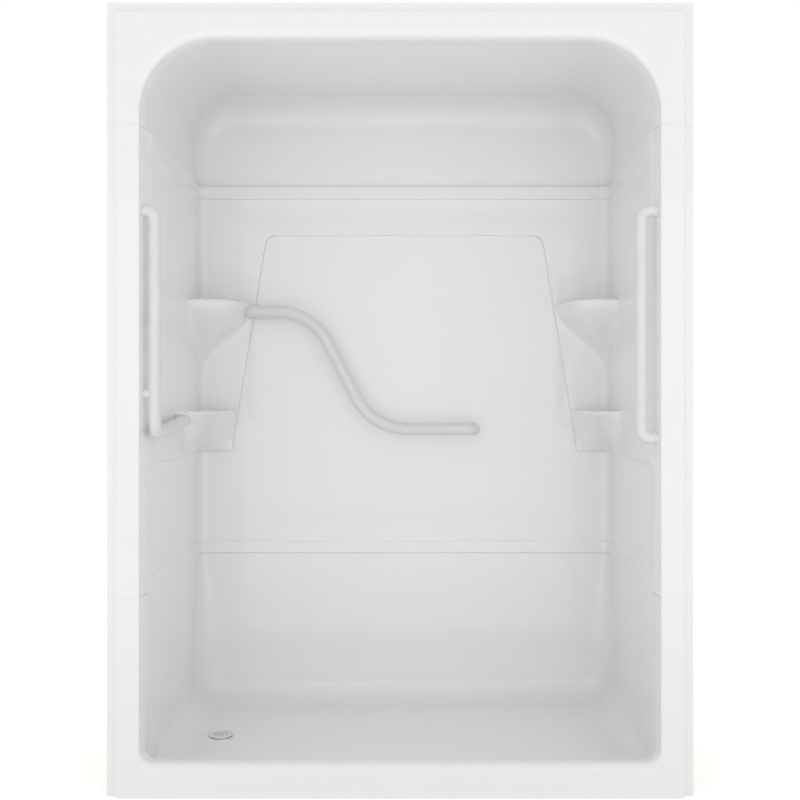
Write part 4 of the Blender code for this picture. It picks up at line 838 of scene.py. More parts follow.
def roof_dome_points(sizes):
    """Rows from the flange to the back wall, columns from the right side to the left one."""
    columns = CEILING_FLAT_HALF * shares(14), *DOME_SIDE_STEPS
    outer = frame_profile(sizes)[0]
    bottom, face_top = UPPER_JOINT_Z + JOINT_GAP_FACE, HEIGHT - FLANGE_WIDTH
    run = FACE_HALF - FACE_EDGE_HALF + ARCH_RADIUS + outer[:, None]
    drop = LINTEL_Z - ARCH_RADIUS
    outline = square_outline(FACE_HALF + outer, face_top + outer, run, drop, bottom, *columns)
    turn = quarter(EDGE_STEPS)
    level = LINTEL_Z - LINTEL_RADIUS * np.sin(turn)
    depth = FACE_DEPTH + LINTEL_RADIUS * (1.0 - np.cos(turn))
    rows = frame_rows(sizes, outline, level, lambda half: ARCH_RADIUS, depth, bottom, columns, -1)
    depth = stations(*CEILING_RUNS, end=LAST_ROW_DEPTH)
    radius = mix(ARCH_RADIUS, DOME_BACK_CORNER, ease(depth, *CORNER_GROWTH))
    wall_bottom = mix(bottom, UPPER_JOINT_Z + JOINT_GAP_WALL, ease(depth, *JOINT_GAP_DEPTHS))[:, None]
    ceiling = mix(LINTEL_Z - LINTEL_RADIUS, ceiling_z(depth), ease(depth, LINTEL_DEPTH, WALL_START_DEPTH))
    x, z, _, _, _ = u_contour(wall_half(depth), ceiling, radius, wall_bottom, *columns, -1)
    rows.append(points_of(x, depth[:, None], z))
    bottom = UPPER_JOINT_Z + JOINT_GAP_WALL
    half = closed_back(rows, dome_back_rows(bottom, columns), DOME_BACK_DEPTH, bottom)
    points = both_halves(half)[:, ::-1]
    return add_laps(points, all_cells(points), UPPER_JOINT_Z - LAP_HEIGHT, DOME_LAP_STEP, -1.0)


def dome_back_rows(bottom, columns):
    """Rows that turn the ceiling and the sides down into the back wall by quarter circles."""
    turn = quarter(DOME_BACK_STEPS)[:, None]
    contour = u_contour(WALL_HALF_BACK, CEILING_BACK_Z, DOME_BACK_CORNER, bottom, *columns, -1)
    x, z, inward_x, inward_z, down = contour
    radii = DOME_BACK_RADIUS, DOME_SIDE_RADIUS, DOME_JOINT_RADIUS
    _, depth, inwards = back_turn(down, DOME_BACK_DEPTH, *radii, turn)
    return points_of(x + inward_x * inwards, depth, z + inward_z * inwards)


# Round pieces


def rounded_path(corners, radii, steps):
    """A polyline whose inner corners are arcs of the given radii, cut into equal turns."""
    corners = [np.array(c, float) for c in corners]
    path = [corners[0][None]]
    turns = shares(steps)[:, None]
    for k, radius in enumerate(radii, start=1):
        back, ahead = unit(corners[k - 1] - corners[k]), unit(corners[k + 1] - corners[k])
        half_angle = math.acos(float(back @ ahead)) / 2
        centre = corners[k] + unit(back + ahead) * radius / math.sin(half_angle)
        first = corners[k] + back * radius / math.tan(half_angle) - centre
        last = corners[k] + ahead * radius / math.tan(half_angle) - centre
        sweep = math.pi - 2 * half_angle
        arc = first * np.sin(sweep * (1.0 - turns)) + last * np.sin(sweep * turns)
        path.append(centre + arc / math.sin(sweep))
    return np.concatenate(path + [corners[-1][None]])


def ring_faces(rings, sides, closed=False):
    """Quads between rings of points; closed joins the last ring to the first."""
    count = rings if closed else rings - 1
    ring, side = np.meshgrid(np.arange(count), np.arange(sides), indexing="ij")
    ahead, beside = (ring + 1) % rings, (side + 1) % sides
    quads = [ring * sides + side, ring * sides + beside, ahead * sides + beside, ahead * sides + side]
    return np.stack(quads, axis=-1).reshape(-1, 4)


def capped_rings(rings, sides):
    """Parts of a solid of rings whose last two points are the middles of its flat ends."""
    edge = np.arange(sides)
    beside, last, middle = (edge + 1) % sides, (rings - 1) * sides, np.full(sides, rings * sides)
    start_cap = np.stack([beside, edge, middle], axis=1)
    end_cap = np.stack([last + edge, last + beside, middle + 1], axis=1)
    return [(ring_faces(rings, sides), 0), (start_cap, 0), (end_cap, 0)]


def turned_out(radii, heights, sides):
    """Points at (ring, side) radii and heights about the Z axis."""
    turn = full_turn(sides)
    height = np.broadcast_to(heights, radii.shape)
    return np.stack([radii * np.cos(turn), radii * np.sin(turn), height], axis=-1)


def tube_points(path, radii, sides, reference):
    """Rings round a path, each across the mean of the runs beside it, turned from a fixed way."""
    runs = unit(np.diff(path, axis=0))
    along = unit(np.concatenate([runs[:1], runs]) + np.concatenate([runs, runs[-1:]]))
    side = unit(np.cross(along, unit(np.array(reference, float))))
    up = np.cross(side, along)
    turn = full_turn(sides)[:, None]
    out = side[:, None] * np.cos(turn) + up[:, None] * np.sin(turn)
    return path[:, None] + out * radii[:, None, None]


def tube(name, path, radius, sides, reference, finish):
    """A closed round bar along a path; small end rings give it a soft edge before its flat caps."""
    path = np.asarray(path)
    soft = radius / 12
    starts = path[0] + unit(path[1] - path[0]) * np.array([[0.0], [soft]])
    ends = path[-1] + unit(path[-2] - path[-1]) * np.array([[soft], [0.0]])
    path = np.concatenate([starts, path[1:-1], ends])
    radii = np.full(len(path), radius)
    radii[[0, -1]] = radius - soft
    rings = tube_points(path, radii, sides, reference)
    points = np.concatenate([rings.reshape(-1, 3), path[:1], path[-1:]])
    return mesh_object(name, points, capped_rings(len(path), sides), [finish], 40.0)


def rounded_profile(corners, radius, steps=4):
    """A closed profile of (radius, height) corners with each corner rounded by about that much.

    Each corner becomes a curve from a point before it to a point after it, drawn by the
    quadratic (1-s)^2 a + 2s(1-s) corner + s^2 b.
    """
    corners = np.array(corners, float)
    before, after = np.roll(corners, 1, axis=0), np.roll(corners, -1, axis=0)
    to_before, to_after = before - corners, after - corners
    reach_before = np.minimum(radius, np.linalg.norm(to_before, axis=1) / 2.5)[:, None]
    reach_after = np.minimum(radius, np.linalg.norm(to_after, axis=1) / 2.5)[:, None]
    start = corners + unit(to_before) * reach_before
    end = corners + unit(to_after) * reach_after
    s = shares(steps)[None, :, None]
    curve = (1 - s) ** 2 * start[:, None] + 2 * s * (1 - s) * corners[:, None] + s**2 * end[:, None]
    return curve.reshape(-1, 2)


def axis_frame(axis):
    """Two directions across an axis and the axis itself, as the rows of a matrix."""
    axis = unit(np.array(axis, float))
    across = np.array((1.0, 0.0, 0.0)) if abs(axis[0]) < 0.5 else np.array((0.0, 1.0, 0.0))
    return np.stack([across, np.cross(axis, across), axis])


def turned(name, profile, centre, sides, finish, axis=(0.0, 0.0, 1.0), wave=0.0):
    """A closed ring turned about an axis; the profile starts at the outer side and goes down.

    The wave is a (point, side) array of lengths added to the radius.
    """
    local = turned_out(profile[:, :1] + wave * np.ones(sides), profile[:, 1:], sides)
    points = (local @ axis_frame(axis) + np.array(centre)).reshape(-1, 3)
    quads = ring_faces(len(profile), sides, closed=True)
    return mesh_object(name, points, [(quads[:, ::-1], 0)], [finish], 35.0)


def stacked(name, radii, heights, centre, axis, finish):
    """A closed solid from rings of (ring, side) radii at heights along an axis, with flat ends."""
    rings, sides = radii.shape
    local = turned_out(radii, np.reshape(heights, (-1, 1)), sides).reshape(-1, 3)
    local = np.concatenate([local, [(0.0, 0.0, heights[0]), (0.0, 0.0, heights[-1])]])
    points = local @ axis_frame(axis) + np.array(centre)
    return mesh_object(name, points, capped_rings(rings, sides), [finish], 35.0)


def box_face(axis, at, others, stops):
    """One side of a box as a grid of points and quads, which face away from the box."""
    first, second = np.meshgrid(stops[others[0]], stops[others[1]], indexing="ij")
    points = np.zeros(first.shape + (3,))
    points[..., axis] = at
    points[..., others[0]], points[..., others[1]] = first, second
    return points.reshape(-1, 3), grid_cells(*first.shape)[..., [0, 3, 2, 1]].reshape(-1, 4)


def rounded_box(name, low, high, radius, finish, slope=0.0):
    """A box with rounded edges, through its thinnest side measured for the layers of a board.

    A point of the plain box is moved to the given distance from the nearest point of the
    box that is smaller by that distance on every side. The slope tips it along the depth.
    """
    low, high = np.array(low, float), np.array(high, float)
    soft = np.linspace(0.0, radius, 4)
    stops = [np.concatenate([low[k] + soft, (high[k] - soft)[::-1]]) for k in range(3)]
    points, quads, count = [], [], 0
    for axis in range(3):
        others = [(axis + 1) % 3, (axis + 2) % 3]
        for at, flip in ((high[axis], False), (low[axis], True)):
            side, faces = box_face(axis, at, others, stops)
            points.append(side)
            quads.append((faces[:, ::-1] if flip else faces) + count)
            count += len(side)
    points, quads = np.concatenate(points), np.concatenate(quads)
    inner = np.clip(points, low + radius, high - radius)
    points = inner + unit(points - inner) * radius
    first, quads, triangles = welded(points, quads)
    points = points[first]
    thin = int(np.argmin(high - low))
    through = points[:, thin] - low[thin]
    points[:, 2] += slope * (points[:, 1] - low[1])
    obj = mesh_object(name, points, [(quads, 0), (triangles, 0)], [finish], 60.0)
    attribute = obj.data.attributes.new("through", "FLOAT", "POINT")
    attribute.data.foreach_set("value", through.astype(np.float32))
    return obj


# Finishes


def linear(hexadecimal):
    """Linear RGBA from an sRGB hex colour."""
    levels = np.array([int(hexadecimal[k:k + 2], 16) for k in (0, 2, 4)]) / 255
    levels = np.where(levels <= 0.04045, levels / 12.92, ((levels + 0.055) / 1.055) ** 2.4)
    return (*levels.tolist(), 1.0)


def per_metre(millimetres):
    """Texture scale whose features are about that many millimetres apart."""
    return 1000.0 / millimetres


def node(tree, kind, inputs=(), **settings):
    """Adds a node; an input's value is a number, a colour or an output socket to link."""
    made = tree.nodes.new("ShaderNode" + kind)
    for key, value in settings.items():
        setattr(made, key, value)
    for socket, value in dict(inputs).items():
        if isinstance(value, bpy.types.NodeSocket):
            tree.links.new(value, made.inputs[socket])
        else:
            made.inputs[socket].default_value = value
    return made


def empty_tree(owner):
    owner.use_nodes = True
    owner.node_tree.nodes.clear()
    return owner.node_tree


def surface(name, pattern, **fixed):
    """A material whose shader takes links from the pattern and plain values from the rest."""
    made = bpy.data.materials.new(name)
    tree = empty_tree(made)
    place = node(tree, "TexCoord").outputs["Object"]
    inputs = {key.replace("_", " ").title().replace("Ior", "IOR"): value for key, value in fixed.items()}
    inputs.update(pattern(tree, place))
    shader = node(tree, "BsdfPrincipled", inputs)
    node(tree, "OutputMaterial", {"Surface": shader.outputs["BSDF"]})
    return made


def noise(tree, place, millimetres, detail=2.0, roughness=0.5, stretch=None, turn=(0.0, 0.0, 0.0)):
    """Noise with features of a real size; a stretch scales the pattern along X, Y and Z."""
    if stretch:
        mapping = {"Vector": place, "Scale": stretch, "Rotation": turn}
        place = node(tree, "Mapping", mapping).outputs["Vector"]
    inputs = {"Vector": place, "Scale": per_metre(millimetres), "Detail": detail, "Roughness": roughness}
    return node(tree, "TexNoise", inputs).outputs["Fac"]


def spread(tree, value, low, high, start=0.0, end=1.0):
    """Maps a 0 to 1 value on to a range."""
    inputs = {"Value": value, "From Min": start, "From Max": end, "To Min": low, "To Max": high}
    return node(tree, "MapRange", inputs).outputs["Result"]


def blend_colours(tree, share, first, second):
    mixer = node(tree, "Mix", data_type="RGBA")
    tree.links.new(share, mixer.inputs["Factor"])
    colours = [socket for socket in mixer.inputs if socket.type == "RGBA"]
    colours[0].default_value, colours[1].default_value = first, second
    return next(socket for socket in mixer.outputs if socket.type == "RGBA")


def maths(tree, operation, first, second=0.5):
    return node(tree, "Math", {0: first, 1: second}, operation=operation).outputs["Value"]


def cells(tree, place, millimetres, feature="F1"):
    """Distance from the middle, or to the edge, of cells of a real size."""
    inputs = {"Vector": place, "Scale": per_metre(millimetres)}
    return node(tree, "TexVoronoi", inputs, feature=feature).outputs["Distance"]


def bump(tree, height, millimetres, strength=1.0):
    """A bump of a real height."""
    inputs = {"Height": height, "Distance": millimetres / 1000, "Strength": strength}
    return node(tree, "Bump", inputs).outputs["Normal"]


def darker(colour, share):
    return (*(value * share for value in colour[:3]), 1.0)


def mottled(tree, place, millimetres, colour, share):
    """The colour, a little darker in patches of a real size."""
    return blend_colours(tree, noise(tree, place, millimetres), darker(colour, share), colour)


def cast_acrylic(colour):
    """Cast acrylic sheet, drawn over a mould: a deep even gloss with faint, slow waves."""
    def pattern(tree, place):
        tint = mottled(tree, place, 420.0, colour, 0.992)
        gloss = spread(tree, noise(tree, place, 160.0, 3.0), 0.045, 0.085)
        drawn = bump(tree, noise(tree, place, 90.0, 1.0), 0.02, 0.2)
        return {"Base Color": tint, "Roughness": gloss, "Normal": drawn}
    return surface("cast_acrylic_gloss_white", pattern, ior=1.55)


def sprayed_laminate(colour):
    """Glass-fibre laminate sprayed on the back: matted chopped strands under a dull resin.

    Real strands are about a millimetre wide and 30 mm long; they are drawn 2 mm wide to show.
    """
    def pattern(tree, place):
        strands = None
        for number in range(3):
            turn = (0.5 * number, 0.7 * number, 1.05 * number)
            streaks = noise(tree, place, 30.0, 1.0, 0.4, (1.0, 15.0, 15.0), turn)
            strands = streaks if strands is None else maths(tree, "MAXIMUM", strands, streaks)
        tint = blend_colours(tree, spread(tree, strands, 0.0, 1.0, 0.45, 0.75), darker(colour, 0.80), colour)
        patches = spread(tree, noise(tree, place, 60.0), 0.42, 0.62)
        return {"Base Color": tint, "Roughness": patches, "Normal": bump(tree, strands, 0.6, 0.7)}
    return surface("sprayed_glass_fibre_laminate", pattern, ior=1.55)


def powder_coat(colour):
    """Powder coat baked on steel tube: an even satin with fine orange peel."""
    def pattern(tree, place):
        peel = noise(tree, place, 1.8, 2.0)
        tint = mottled(tree, place, 120.0, colour, 0.99)
        gloss = spread(tree, noise(tree, place, 25.0), 0.22, 0.26)
        return {"Base Color": tint, "Roughness": gloss, "Normal": bump(tree, peel, 0.01, 0.3)}
    return surface("powder_coated_steel_tube", pattern, ior=1.5)


def chrome_plate(colour):
    """Chrome on polished brass: a bright metal with faint wipe marks."""
    def pattern(tree, place):
        marks = noise(tree, place, 4.0, 4.0, 0.6, (1.0, 6.0, 1.0))
        tint = mottled(tree, place, 15.0, colour, 0.93)
        return {"Base Color": tint, "Roughness": spread(tree, marks, 0.12, 0.22)}
    return surface("chrome_plated_brass", pattern, metallic=1.0)


def zinc_plate(colour):
    """Zinc-plated steel: a grey metal with small dull and bright crystals."""
    def pattern(tree, place):
        spangle = cells(tree, place, 2.5)
        tint = blend_colours(tree, spangle, colour, darker(colour, 0.72))
        fine = bump(tree, noise(tree, place, 0.8, 2.0), 0.02, 0.4)
        return {"Base Color": tint, "Roughness": spread(tree, spangle, 0.26, 0.46), "Normal": fine}
    return surface("zinc_plated_steel", pattern, metallic=1.0)


def plywood(colour):
    """Softwood plywood: grain along the face, and plies of turned grain at the sawn edges.

    Each ply is PLY metres thick and is read from the board's own measure through its thickness.
    """
    def pattern(tree, place):
        grain = noise(tree, place, 70.0, 4.0, 0.6, (14.0, 14.0, 1.0))
        pores = noise(tree, place, 12.0, 2.0, 0.5, (12.0, 12.0, 0.8))
        through = node(tree, "Attribute", attribute_name="through").outputs["Fac"]
        plies = maths(tree, "SINE", maths(tree, "MULTIPLY", through, math.pi / PLY))
        shade = maths(tree, "ADD", grain, spread(tree, plies, 0.0, 0.45, -0.3, 0.3))
        tint = blend_colours(tree, spread(tree, shade, 0.0, 1.0, 0.3, 1.0), colour, darker(colour, 0.55))
        dull = spread(tree, pores, 0.62, 0.85)
        return {"Base Color": tint, "Roughness": dull, "Normal": bump(tree, pores, 0.25)}
    return surface("softwood_plywood", pattern)


def moulded_rubber(colour):
    """Moulded EPDM rubber: near black, dull, with a faint bloom."""
    def pattern(tree, place):
        bloom = noise(tree, place, 9.0, 3.0)
        tint = blend_colours(tree, bloom, colour, darker(colour, 1.9))
        fine = bump(tree, noise(tree, place, 0.9, 2.0), 0.03, 0.6)
        return {"Base Color": tint, "Roughness": spread(tree, bloom, 0.5, 0.7), "Normal": fine}
    return surface("moulded_epdm_rubber", pattern)


def moulded_pvc(colour):
    """Injection-moulded PVC: an even off-white with a soft gloss and fine mould texture."""
    def pattern(tree, place):
        tint = mottled(tree, place, 30.0, colour, 0.96)
        gloss = spread(tree, noise(tree, place, 10.0), 0.3, 0.42)
        fine = bump(tree, noise(tree, place, 0.7, 1.0), 0.015, 0.5)
        return {"Base Color": tint, "Roughness": gloss, "Normal": fine}
    return surface("moulded_white_pvc", pattern, ior=1.53)


def foam_tape(colour):
    """Closed-cell foam tape: a soft grey whose cut edge shows cells about 1 mm across."""
    def pattern(tree, place):
        wall = cells(tree, place, 1.1)
        tint = blend_colours(tree, wall, darker(colour, 0.82), colour)
        dull = spread(tree, wall, 0.8, 0.95)
        return {"Base Color": tint, "Roughness": dull, "Normal": bump(tree, wall, 0.25)}
    return surface("closed_cell_foam_tape", pattern)


def expanded_polystyrene(colour):
    """Expanded polystyrene: white beads 4 mm across, pressed together, with darker seams."""
    def pattern(tree, place):
        seam = spread(tree, cells(tree, place, 4.0, "DISTANCE_TO_EDGE"), 0.0, 1.0, 0.0, 0.22)
        tint = blend_colours(tree, seam, darker(colour, 0.78), colour)
        dull = spread(tree, seam, 0.9, 0.7)
        return {"Base Color": tint, "Roughness": dull, "Normal": bump(tree, seam, 0.5, 0.8)}
    return surface("expanded_polystyrene", pattern)


FINISHES = {
    "acrylic": cast_acrylic,
    "laminate": sprayed_laminate,
    "tube": powder_coat,
    "chrome": chrome_plate,
    "zinc": zinc_plate,
    "ply": plywood,
    "rubber": moulded_rubber,
    "pvc": moulded_pvc,
    "tape": foam_tape,
    "beads": expanded_polystyrene,
}
FINISHES_MADE = {}


def finish_named(context, key):
    """The material for a finish, made once from its colour in the panel."""
    made = FINISHES_MADE.get(key)
    if made is None:
        made = FINISHES[key]((*getattr(context.scene.shower_colours, key), 1.0))
        FINISHES_MADE[key] = made
    return made


# Sizes and colours in the panel


def length(name, description, default, low=0.0005, high=0.1):
    return bpy.props.FloatProperty(
        name=name, description=description, default=default, min=low, max=high,
        subtype="DISTANCE", unit="LENGTH", precision=4)


def colour(name, description, hexadecimal):
    return bpy.props.FloatVectorProperty(
        name=name, description=description, default=linear(hexadecimal)[:3],
        size=3, min=0.0, max=1.0, subtype="COLOR")


def level(name, description, default, high):
    return bpy.props.FloatProperty(name=name, description=description, default=default, min=0.0, max=high)


class ShellSizes(bpy.types.PropertyGroup):
    """Sizes of the three moulded shells."""
    laminate: length("Laminate", "Thickness of acrylic and glass fibre together", 0.004)
    flange_fillet: length("Flange fillet", "Hollow radius between the flange and the frame", 0.003)
    face_edge: length("Frame edge", "Radius of the frame's outer edge", 0.005)
    shelf_nose: length("Shelf nose", "Height of a shelf's rounded front edge", 0.008)
    shelf_cove: length("Shelf cove", "Height of the fillet between a shelf and the wall", 0.011)


class BarSizes(bpy.types.PropertyGroup):
    """Sizes of the grab bars."""
    entry_radius: length("Entry bar radius", "Half the diameter of the two entry bars", 0.016)
    post_radius: length("Post radius", "Half the diameter of the left bar's post", 0.012)
    back_radius: length("Back bar radius", "Half the diameter of the back bar", 0.019)
    entry_bend: length("Entry bar bend", "Radius of the entry bars' bends", 0.026)
    back_bend: length("Back bar bend", "Radius of the two long bends of the back bar", 0.188, high=0.3)
    end_bend: length("End bend", "Radius of the back bar's bends towards the wall", 0.022)


class DrainSizes(bpy.types.PropertyGroup):
    """Sizes of the drain's round pieces."""
    edge: length("Edge", "Rounding of the rim and the locknut", 0.0009, 0.0001)
    strainer_hole: length("Strainer hole", "Radius of each hole in the strainer", 0.0021)
    grips: bpy.props.IntProperty(
        name="Locknut grips", description="Number of grips round the locknut", default=8, min=4, max=16)


class FinishColours(bpy.types.PropertyGroup):
    """Colours of the finishes."""
    acrylic: colour("Acrylic", "Cast acrylic of the three shells", "F9F9F9")
    laminate: colour("Laminate", "Sprayed back of the shells", "D9D5C4")
    tube: colour("Coated tube", "Powder coat of the grab bars", "E9E7E8")
    chrome: colour("Chrome", "Plated drain and strainer", "EEEEEF")
    zinc: colour("Zinc", "Bolts and washers", "B6BABD")
    ply: colour("Plywood", "Boards and battens", "C9A878")
    rubber: colour("Rubber", "Seal and pipe gasket", "1C1C1D")
    pvc: colour("PVC", "Friction washer and locknut", "E6E6E1")
    tape: colour("Foam tape", "Tape in the two joints", "A3A3A1")
    beads: colour("Polystyrene", "Support pads", "F0F0EC")
    floor: colour("Floor", "Studio floor", "FDFDFD")


class StageLight(bpy.types.PropertyGroup):
    """Levels of the studio light."""
    surround: level("Surround", "Level of the even light on the object", 0.77, 2.0)
    front_panel: level("Front panel", "Brightness of the soft panel in front of the opening", 0.5, 10.0)
    floor_panel: level("Floor panel", "Brightness of the soft panel over the floor in front", 0.45, 10.0)
    floor_glow: level("Floor glow", "How far the floor is lifted to white for the camera", 0.35, 1.0)


# Operators


def add_section(context, name, points_from):
    """One section's shell, gloss towards the room and laminate behind, for its CAD node."""
    sizes = context.scene.shower_shells
    finishes = [finish_named(context, key) for key in ("acrylic", "laminate")]
    made = shell(name + "_moulding", *points_from(sizes), sizes.laminate, finishes)
    place(made, "white_acrylic", name)
    return {"FINISHED"}


class BasePan(bpy.types.Operator):
    """Make the base pan: threshold, floor, lower walls and the lap under the lower joint"""
    bl_idname = "shower.base_pan"
    bl_label = "Base Pan"

    def execute(self, context):
        return add_section(context, "base_pan", base_pan_points)


class WallSurround(bpy.types.Operator):
    """Make the wall surround: raised moulding, recessed panel and four corner shelves"""
    bl_idname = "shower.wall_surround"
    bl_label = "Wall Surround"

    def execute(self, context):
        return add_section(context, "wall_surround", wall_surround_points)


class RoofDome(bpy.types.Operator):
    """Make the roof dome: arched lintel, ceiling and the lap over the upper joint"""
    bl_idname = "shower.roof_dome"
    bl_label = "Roof Dome"

    def execute(self, context):
        return add_section(context, "roof_dome", roof_dome_points)


def bent(corners, radii, steps=16):
    """A path through (x, depth, height) corners with its inner corners rounded."""
    return rounded_path([world(*corner) for corner in corners], radii, steps)


def add_bar(context, name, path, radius, sides=48, reference=(1, 1, 1)):
    """A coated tube along a path, for its CAD node."""
    made = tube(name + "_tube", path, radius, sides, reference, finish_named(context, "tube"))
    place(made, "white_coated_tube", name)


class EntryBars(bpy.types.Operator):
    """Make the two entry grab bars and the left one's post"""
    bl_idname = "shower.entry_bars"
    bl_label = "Entry Bars"

    def execute(self, context):
        sizes = context.scene.shower_bars
        depth, top = ENTRY_BAR_DEPTH, ENTRY_BAR_TOP_Z
        wall = float(wall_half(depth)) + ENTRY_BAR_SUNK
        rear = wall_half(LEFT_BAR_REAR_DEPTH, WALL_HALF_FRONT - RAISED_FRONT, WALL_HALF_BACK - RAISED_BACK)
        left, back = -LEFT_BAR_HALF, LEFT_BAR_REAR_DEPTH
        corners = [(-wall, depth, top), (left, depth, top), (left, depth, LEFT_BAR_BOTTOM_Z)]
        corners += [(left, back, LEFT_BAR_REAR_Z), (REAR_END_CLEARANCE - float(rear), back, LEFT_BAR_REAR_Z)]
        add_bar(context, "left_entry_bar", bent(corners, [sizes.entry_bend] * 3), sizes.entry_radius)
        saddle = left - sizes.entry_radius * POST_SADDLE
        path = np.array([world(x, depth, LEFT_POST_Z) for x in np.linspace(-wall, saddle, 5)])
        add_bar(context, "left_entry_bar_post", path, sizes.post_radius, 40)
        right, bottom = RIGHT_BAR_HALF, RIGHT_BAR_BOTTOM_Z
        corners = [(wall, depth, top), (right, depth, top), (right, depth, bottom), (wall, depth, bottom)]
        add_bar(context, "right_entry_bar", bent(corners, [sizes.entry_bend] * 2), sizes.entry_radius)
        return {"FINISHED"}


class BackBar(bpy.types.Operator):
    """Make the S-shaped grab bar on the back wall"""
    bl_idname = "shower.back_bar"
    bl_label = "Back Bar"

    def execute(self, context):
        sizes = context.scene.shower_bars
        depth, wall, top, bottom = BACK_BAR_DEPTH, BACK_WALL_DEPTH - GAP, BACK_BAR_TOP_Z, BACK_BAR_BOTTOM_Z
        run = (top - bottom) / math.tan(BACK_BAR_SLOPE)
        corners = [(BACK_BAR_LEFT_X, wall, top), (BACK_BAR_LEFT_X, depth, top)]
        corners += [(BACK_BAR_TURN_X, depth, top), (BACK_BAR_TURN_X + run, depth, bottom)]
        corners += [(BACK_BAR_RIGHT_X, depth, bottom), (BACK_BAR_RIGHT_X, wall, bottom)]
        path = bent(corners, [sizes.end_bend, sizes.back_bend, sizes.back_bend, sizes.end_bend], 20)
        add_bar(context, "back_bar", path, sizes.back_radius, reference=(0.6, 0.0, 0.8))
        return {"FINISHED"}


def drain_ring(context, name, key, slot, corners, edge, sides=72, wave=0.0):
    """A turned ring of the drain from world heights, standing for one CAD node."""
    profile, finish = rounded_profile(corners, edge), finish_named(context, key)
    made = turned(name + "_ring", profile, world(DRAIN_X, DRAIN_DEPTH, 0.0), sides, finish, wave=wave)
    return place(made, slot, name)


def ring_corners(outer, bottom, top, inner):
    return [(outer, top), (outer, bottom), (inner, bottom), (inner, top)]


def ring_box(name):
    """(outer radius, bottom, top) of a round CAD node."""
    low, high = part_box(name)
    return (high.x - low.x) / 2, low.z, high.z


class Drain(bpy.types.Operator):
    """Make the drain: flanged body, strainer, seal, friction washer, locknut and pipe gasket"""
    bl_idname = "shower.drain"
    bl_label = "Drain"

    def execute(self, context):
        sizes = context.scene.shower_drain
        outer, bottom, top = ring_box("drain_body")
        flange = ring_box("drain_seal")[2] + GAP
        seat, ledge = outer - DRAIN_SEAT_WIDTH, flange + DRAIN_LEDGE
        corners = [(outer - DRAIN_BEVEL[0], top), (outer, top - DRAIN_BEVEL[1]), (outer, flange)]
        corners += [(DRAIN_TAIL_RADIUS, flange), (DRAIN_TAIL_RADIUS, bottom), (DRAIN_BORE_RADIUS, bottom)]
        corners += [(DRAIN_BORE_RADIUS, ledge), (seat, ledge), (seat, top)]
        drain_ring(context, "drain_body", "chrome", "chrome_plate", corners, DRAIN_SOFT_EDGE, 96)
        corners = ring_corners(*ring_box("drain_seal"), DRAIN_HOLE_RADIUS)
        drain_ring(context, "drain_seal", "rubber", "black_rubber", corners, DRAIN_SOFT_EDGE)
        corners = ring_corners(*ring_box("drain_friction_washer"), DRAIN_THREAD_RADIUS)
        drain_ring(context, "drain_friction_washer", "pvc", "white_pvc", corners, WASHER_SOFT_EDGE)
        outer, bottom, top = ring_box("drain_locknut")
        corners = ring_corners(outer, bottom, top, DRAIN_THREAD_RADIUS)
        on_outside = rounded_profile(corners, sizes.edge)[:, :1] > (outer + DRAIN_THREAD_RADIUS) / 2
        grips = np.clip(np.cos(full_turn(96) * sizes.grips) - GRIP_START, 0.0, None)
        wave = -GRIP_DEPTH * grips * on_outside
        drain_ring(context, "drain_locknut", "pvc", "white_pvc", corners, sizes.edge, 96, wave)
        outer, bottom, top = ring_box("drain_pipe_gasket")
        (foot, above), (mouth, below) = GASKET_BORE
        corners = [(outer, top), (outer, bottom), (foot, bottom + above), (mouth, top + below)]
        drain_ring(context, "drain_pipe_gasket", "rubber", "black_rubber", corners, DRAIN_SOFT_EDGE)
        self.strainer(context, sizes)
        return {"FINISHED"}

    def strainer(self, context, sizes):
        """A domed disc with rings of round holes, cut by one joined set of pegs."""
        radius, bottom, top = ring_box("drain_strainer")
        dome, sides = top - bottom, 96
        share = np.append(STRAINER_SHARE * shares(13)[1:], 1.0)
        reach = radius * share
        upper = dome + (STRAINER_EDGE - dome) * share**2
        upper[-1] -= DRAIN_SOFT_EDGE
        radii = np.concatenate([[0.3 * radius, radius], reach[::-1]])
        heights = np.concatenate([[0.0, 0.0], upper[::-1]])
        grid = np.repeat(radii[:, None], sides, axis=1)
        centre = world(DRAIN_X, DRAIN_DEPTH, bottom)
        finish = finish_named(context, "chrome")
        disc = stacked("drain_strainer_disc", grid, heights, centre, (0, 0, 1), finish)
        peg = np.full((2, 32), sizes.strainer_hole)
        pegs = []
        for count, ring in STRAINER_RINGS:
            for turn in full_turn(count):
                at = centre + (ring * math.cos(turn), ring * math.sin(turn), -dome)
                pegs.append(stacked("peg", peg, [0.0, 4 * dome], at, (0, 0, 1), finish))
        with context.temp_override(active_object=pegs[0], selected_editable_objects=pegs):
            bpy.ops.object.join()
        cut = disc.modifiers.new("holes", "BOOLEAN")
        cut.operation = "DIFFERENCE"
        cut.object = pegs[0]
        applied = disc.evaluated_get(context.evaluated_depsgraph_get())
        disc.data = bpy.data.meshes.new_from_object(applied)
        disc.modifiers.clear()
        bpy.data.objects.remove(pegs[0], do_unlink=True)
        disc.data.shade_smooth()
        disc.data.set_sharp_from_angle(angle=math.radians(30))
        place(disc, "chrome_plate", "drain_strainer", body="strainer")


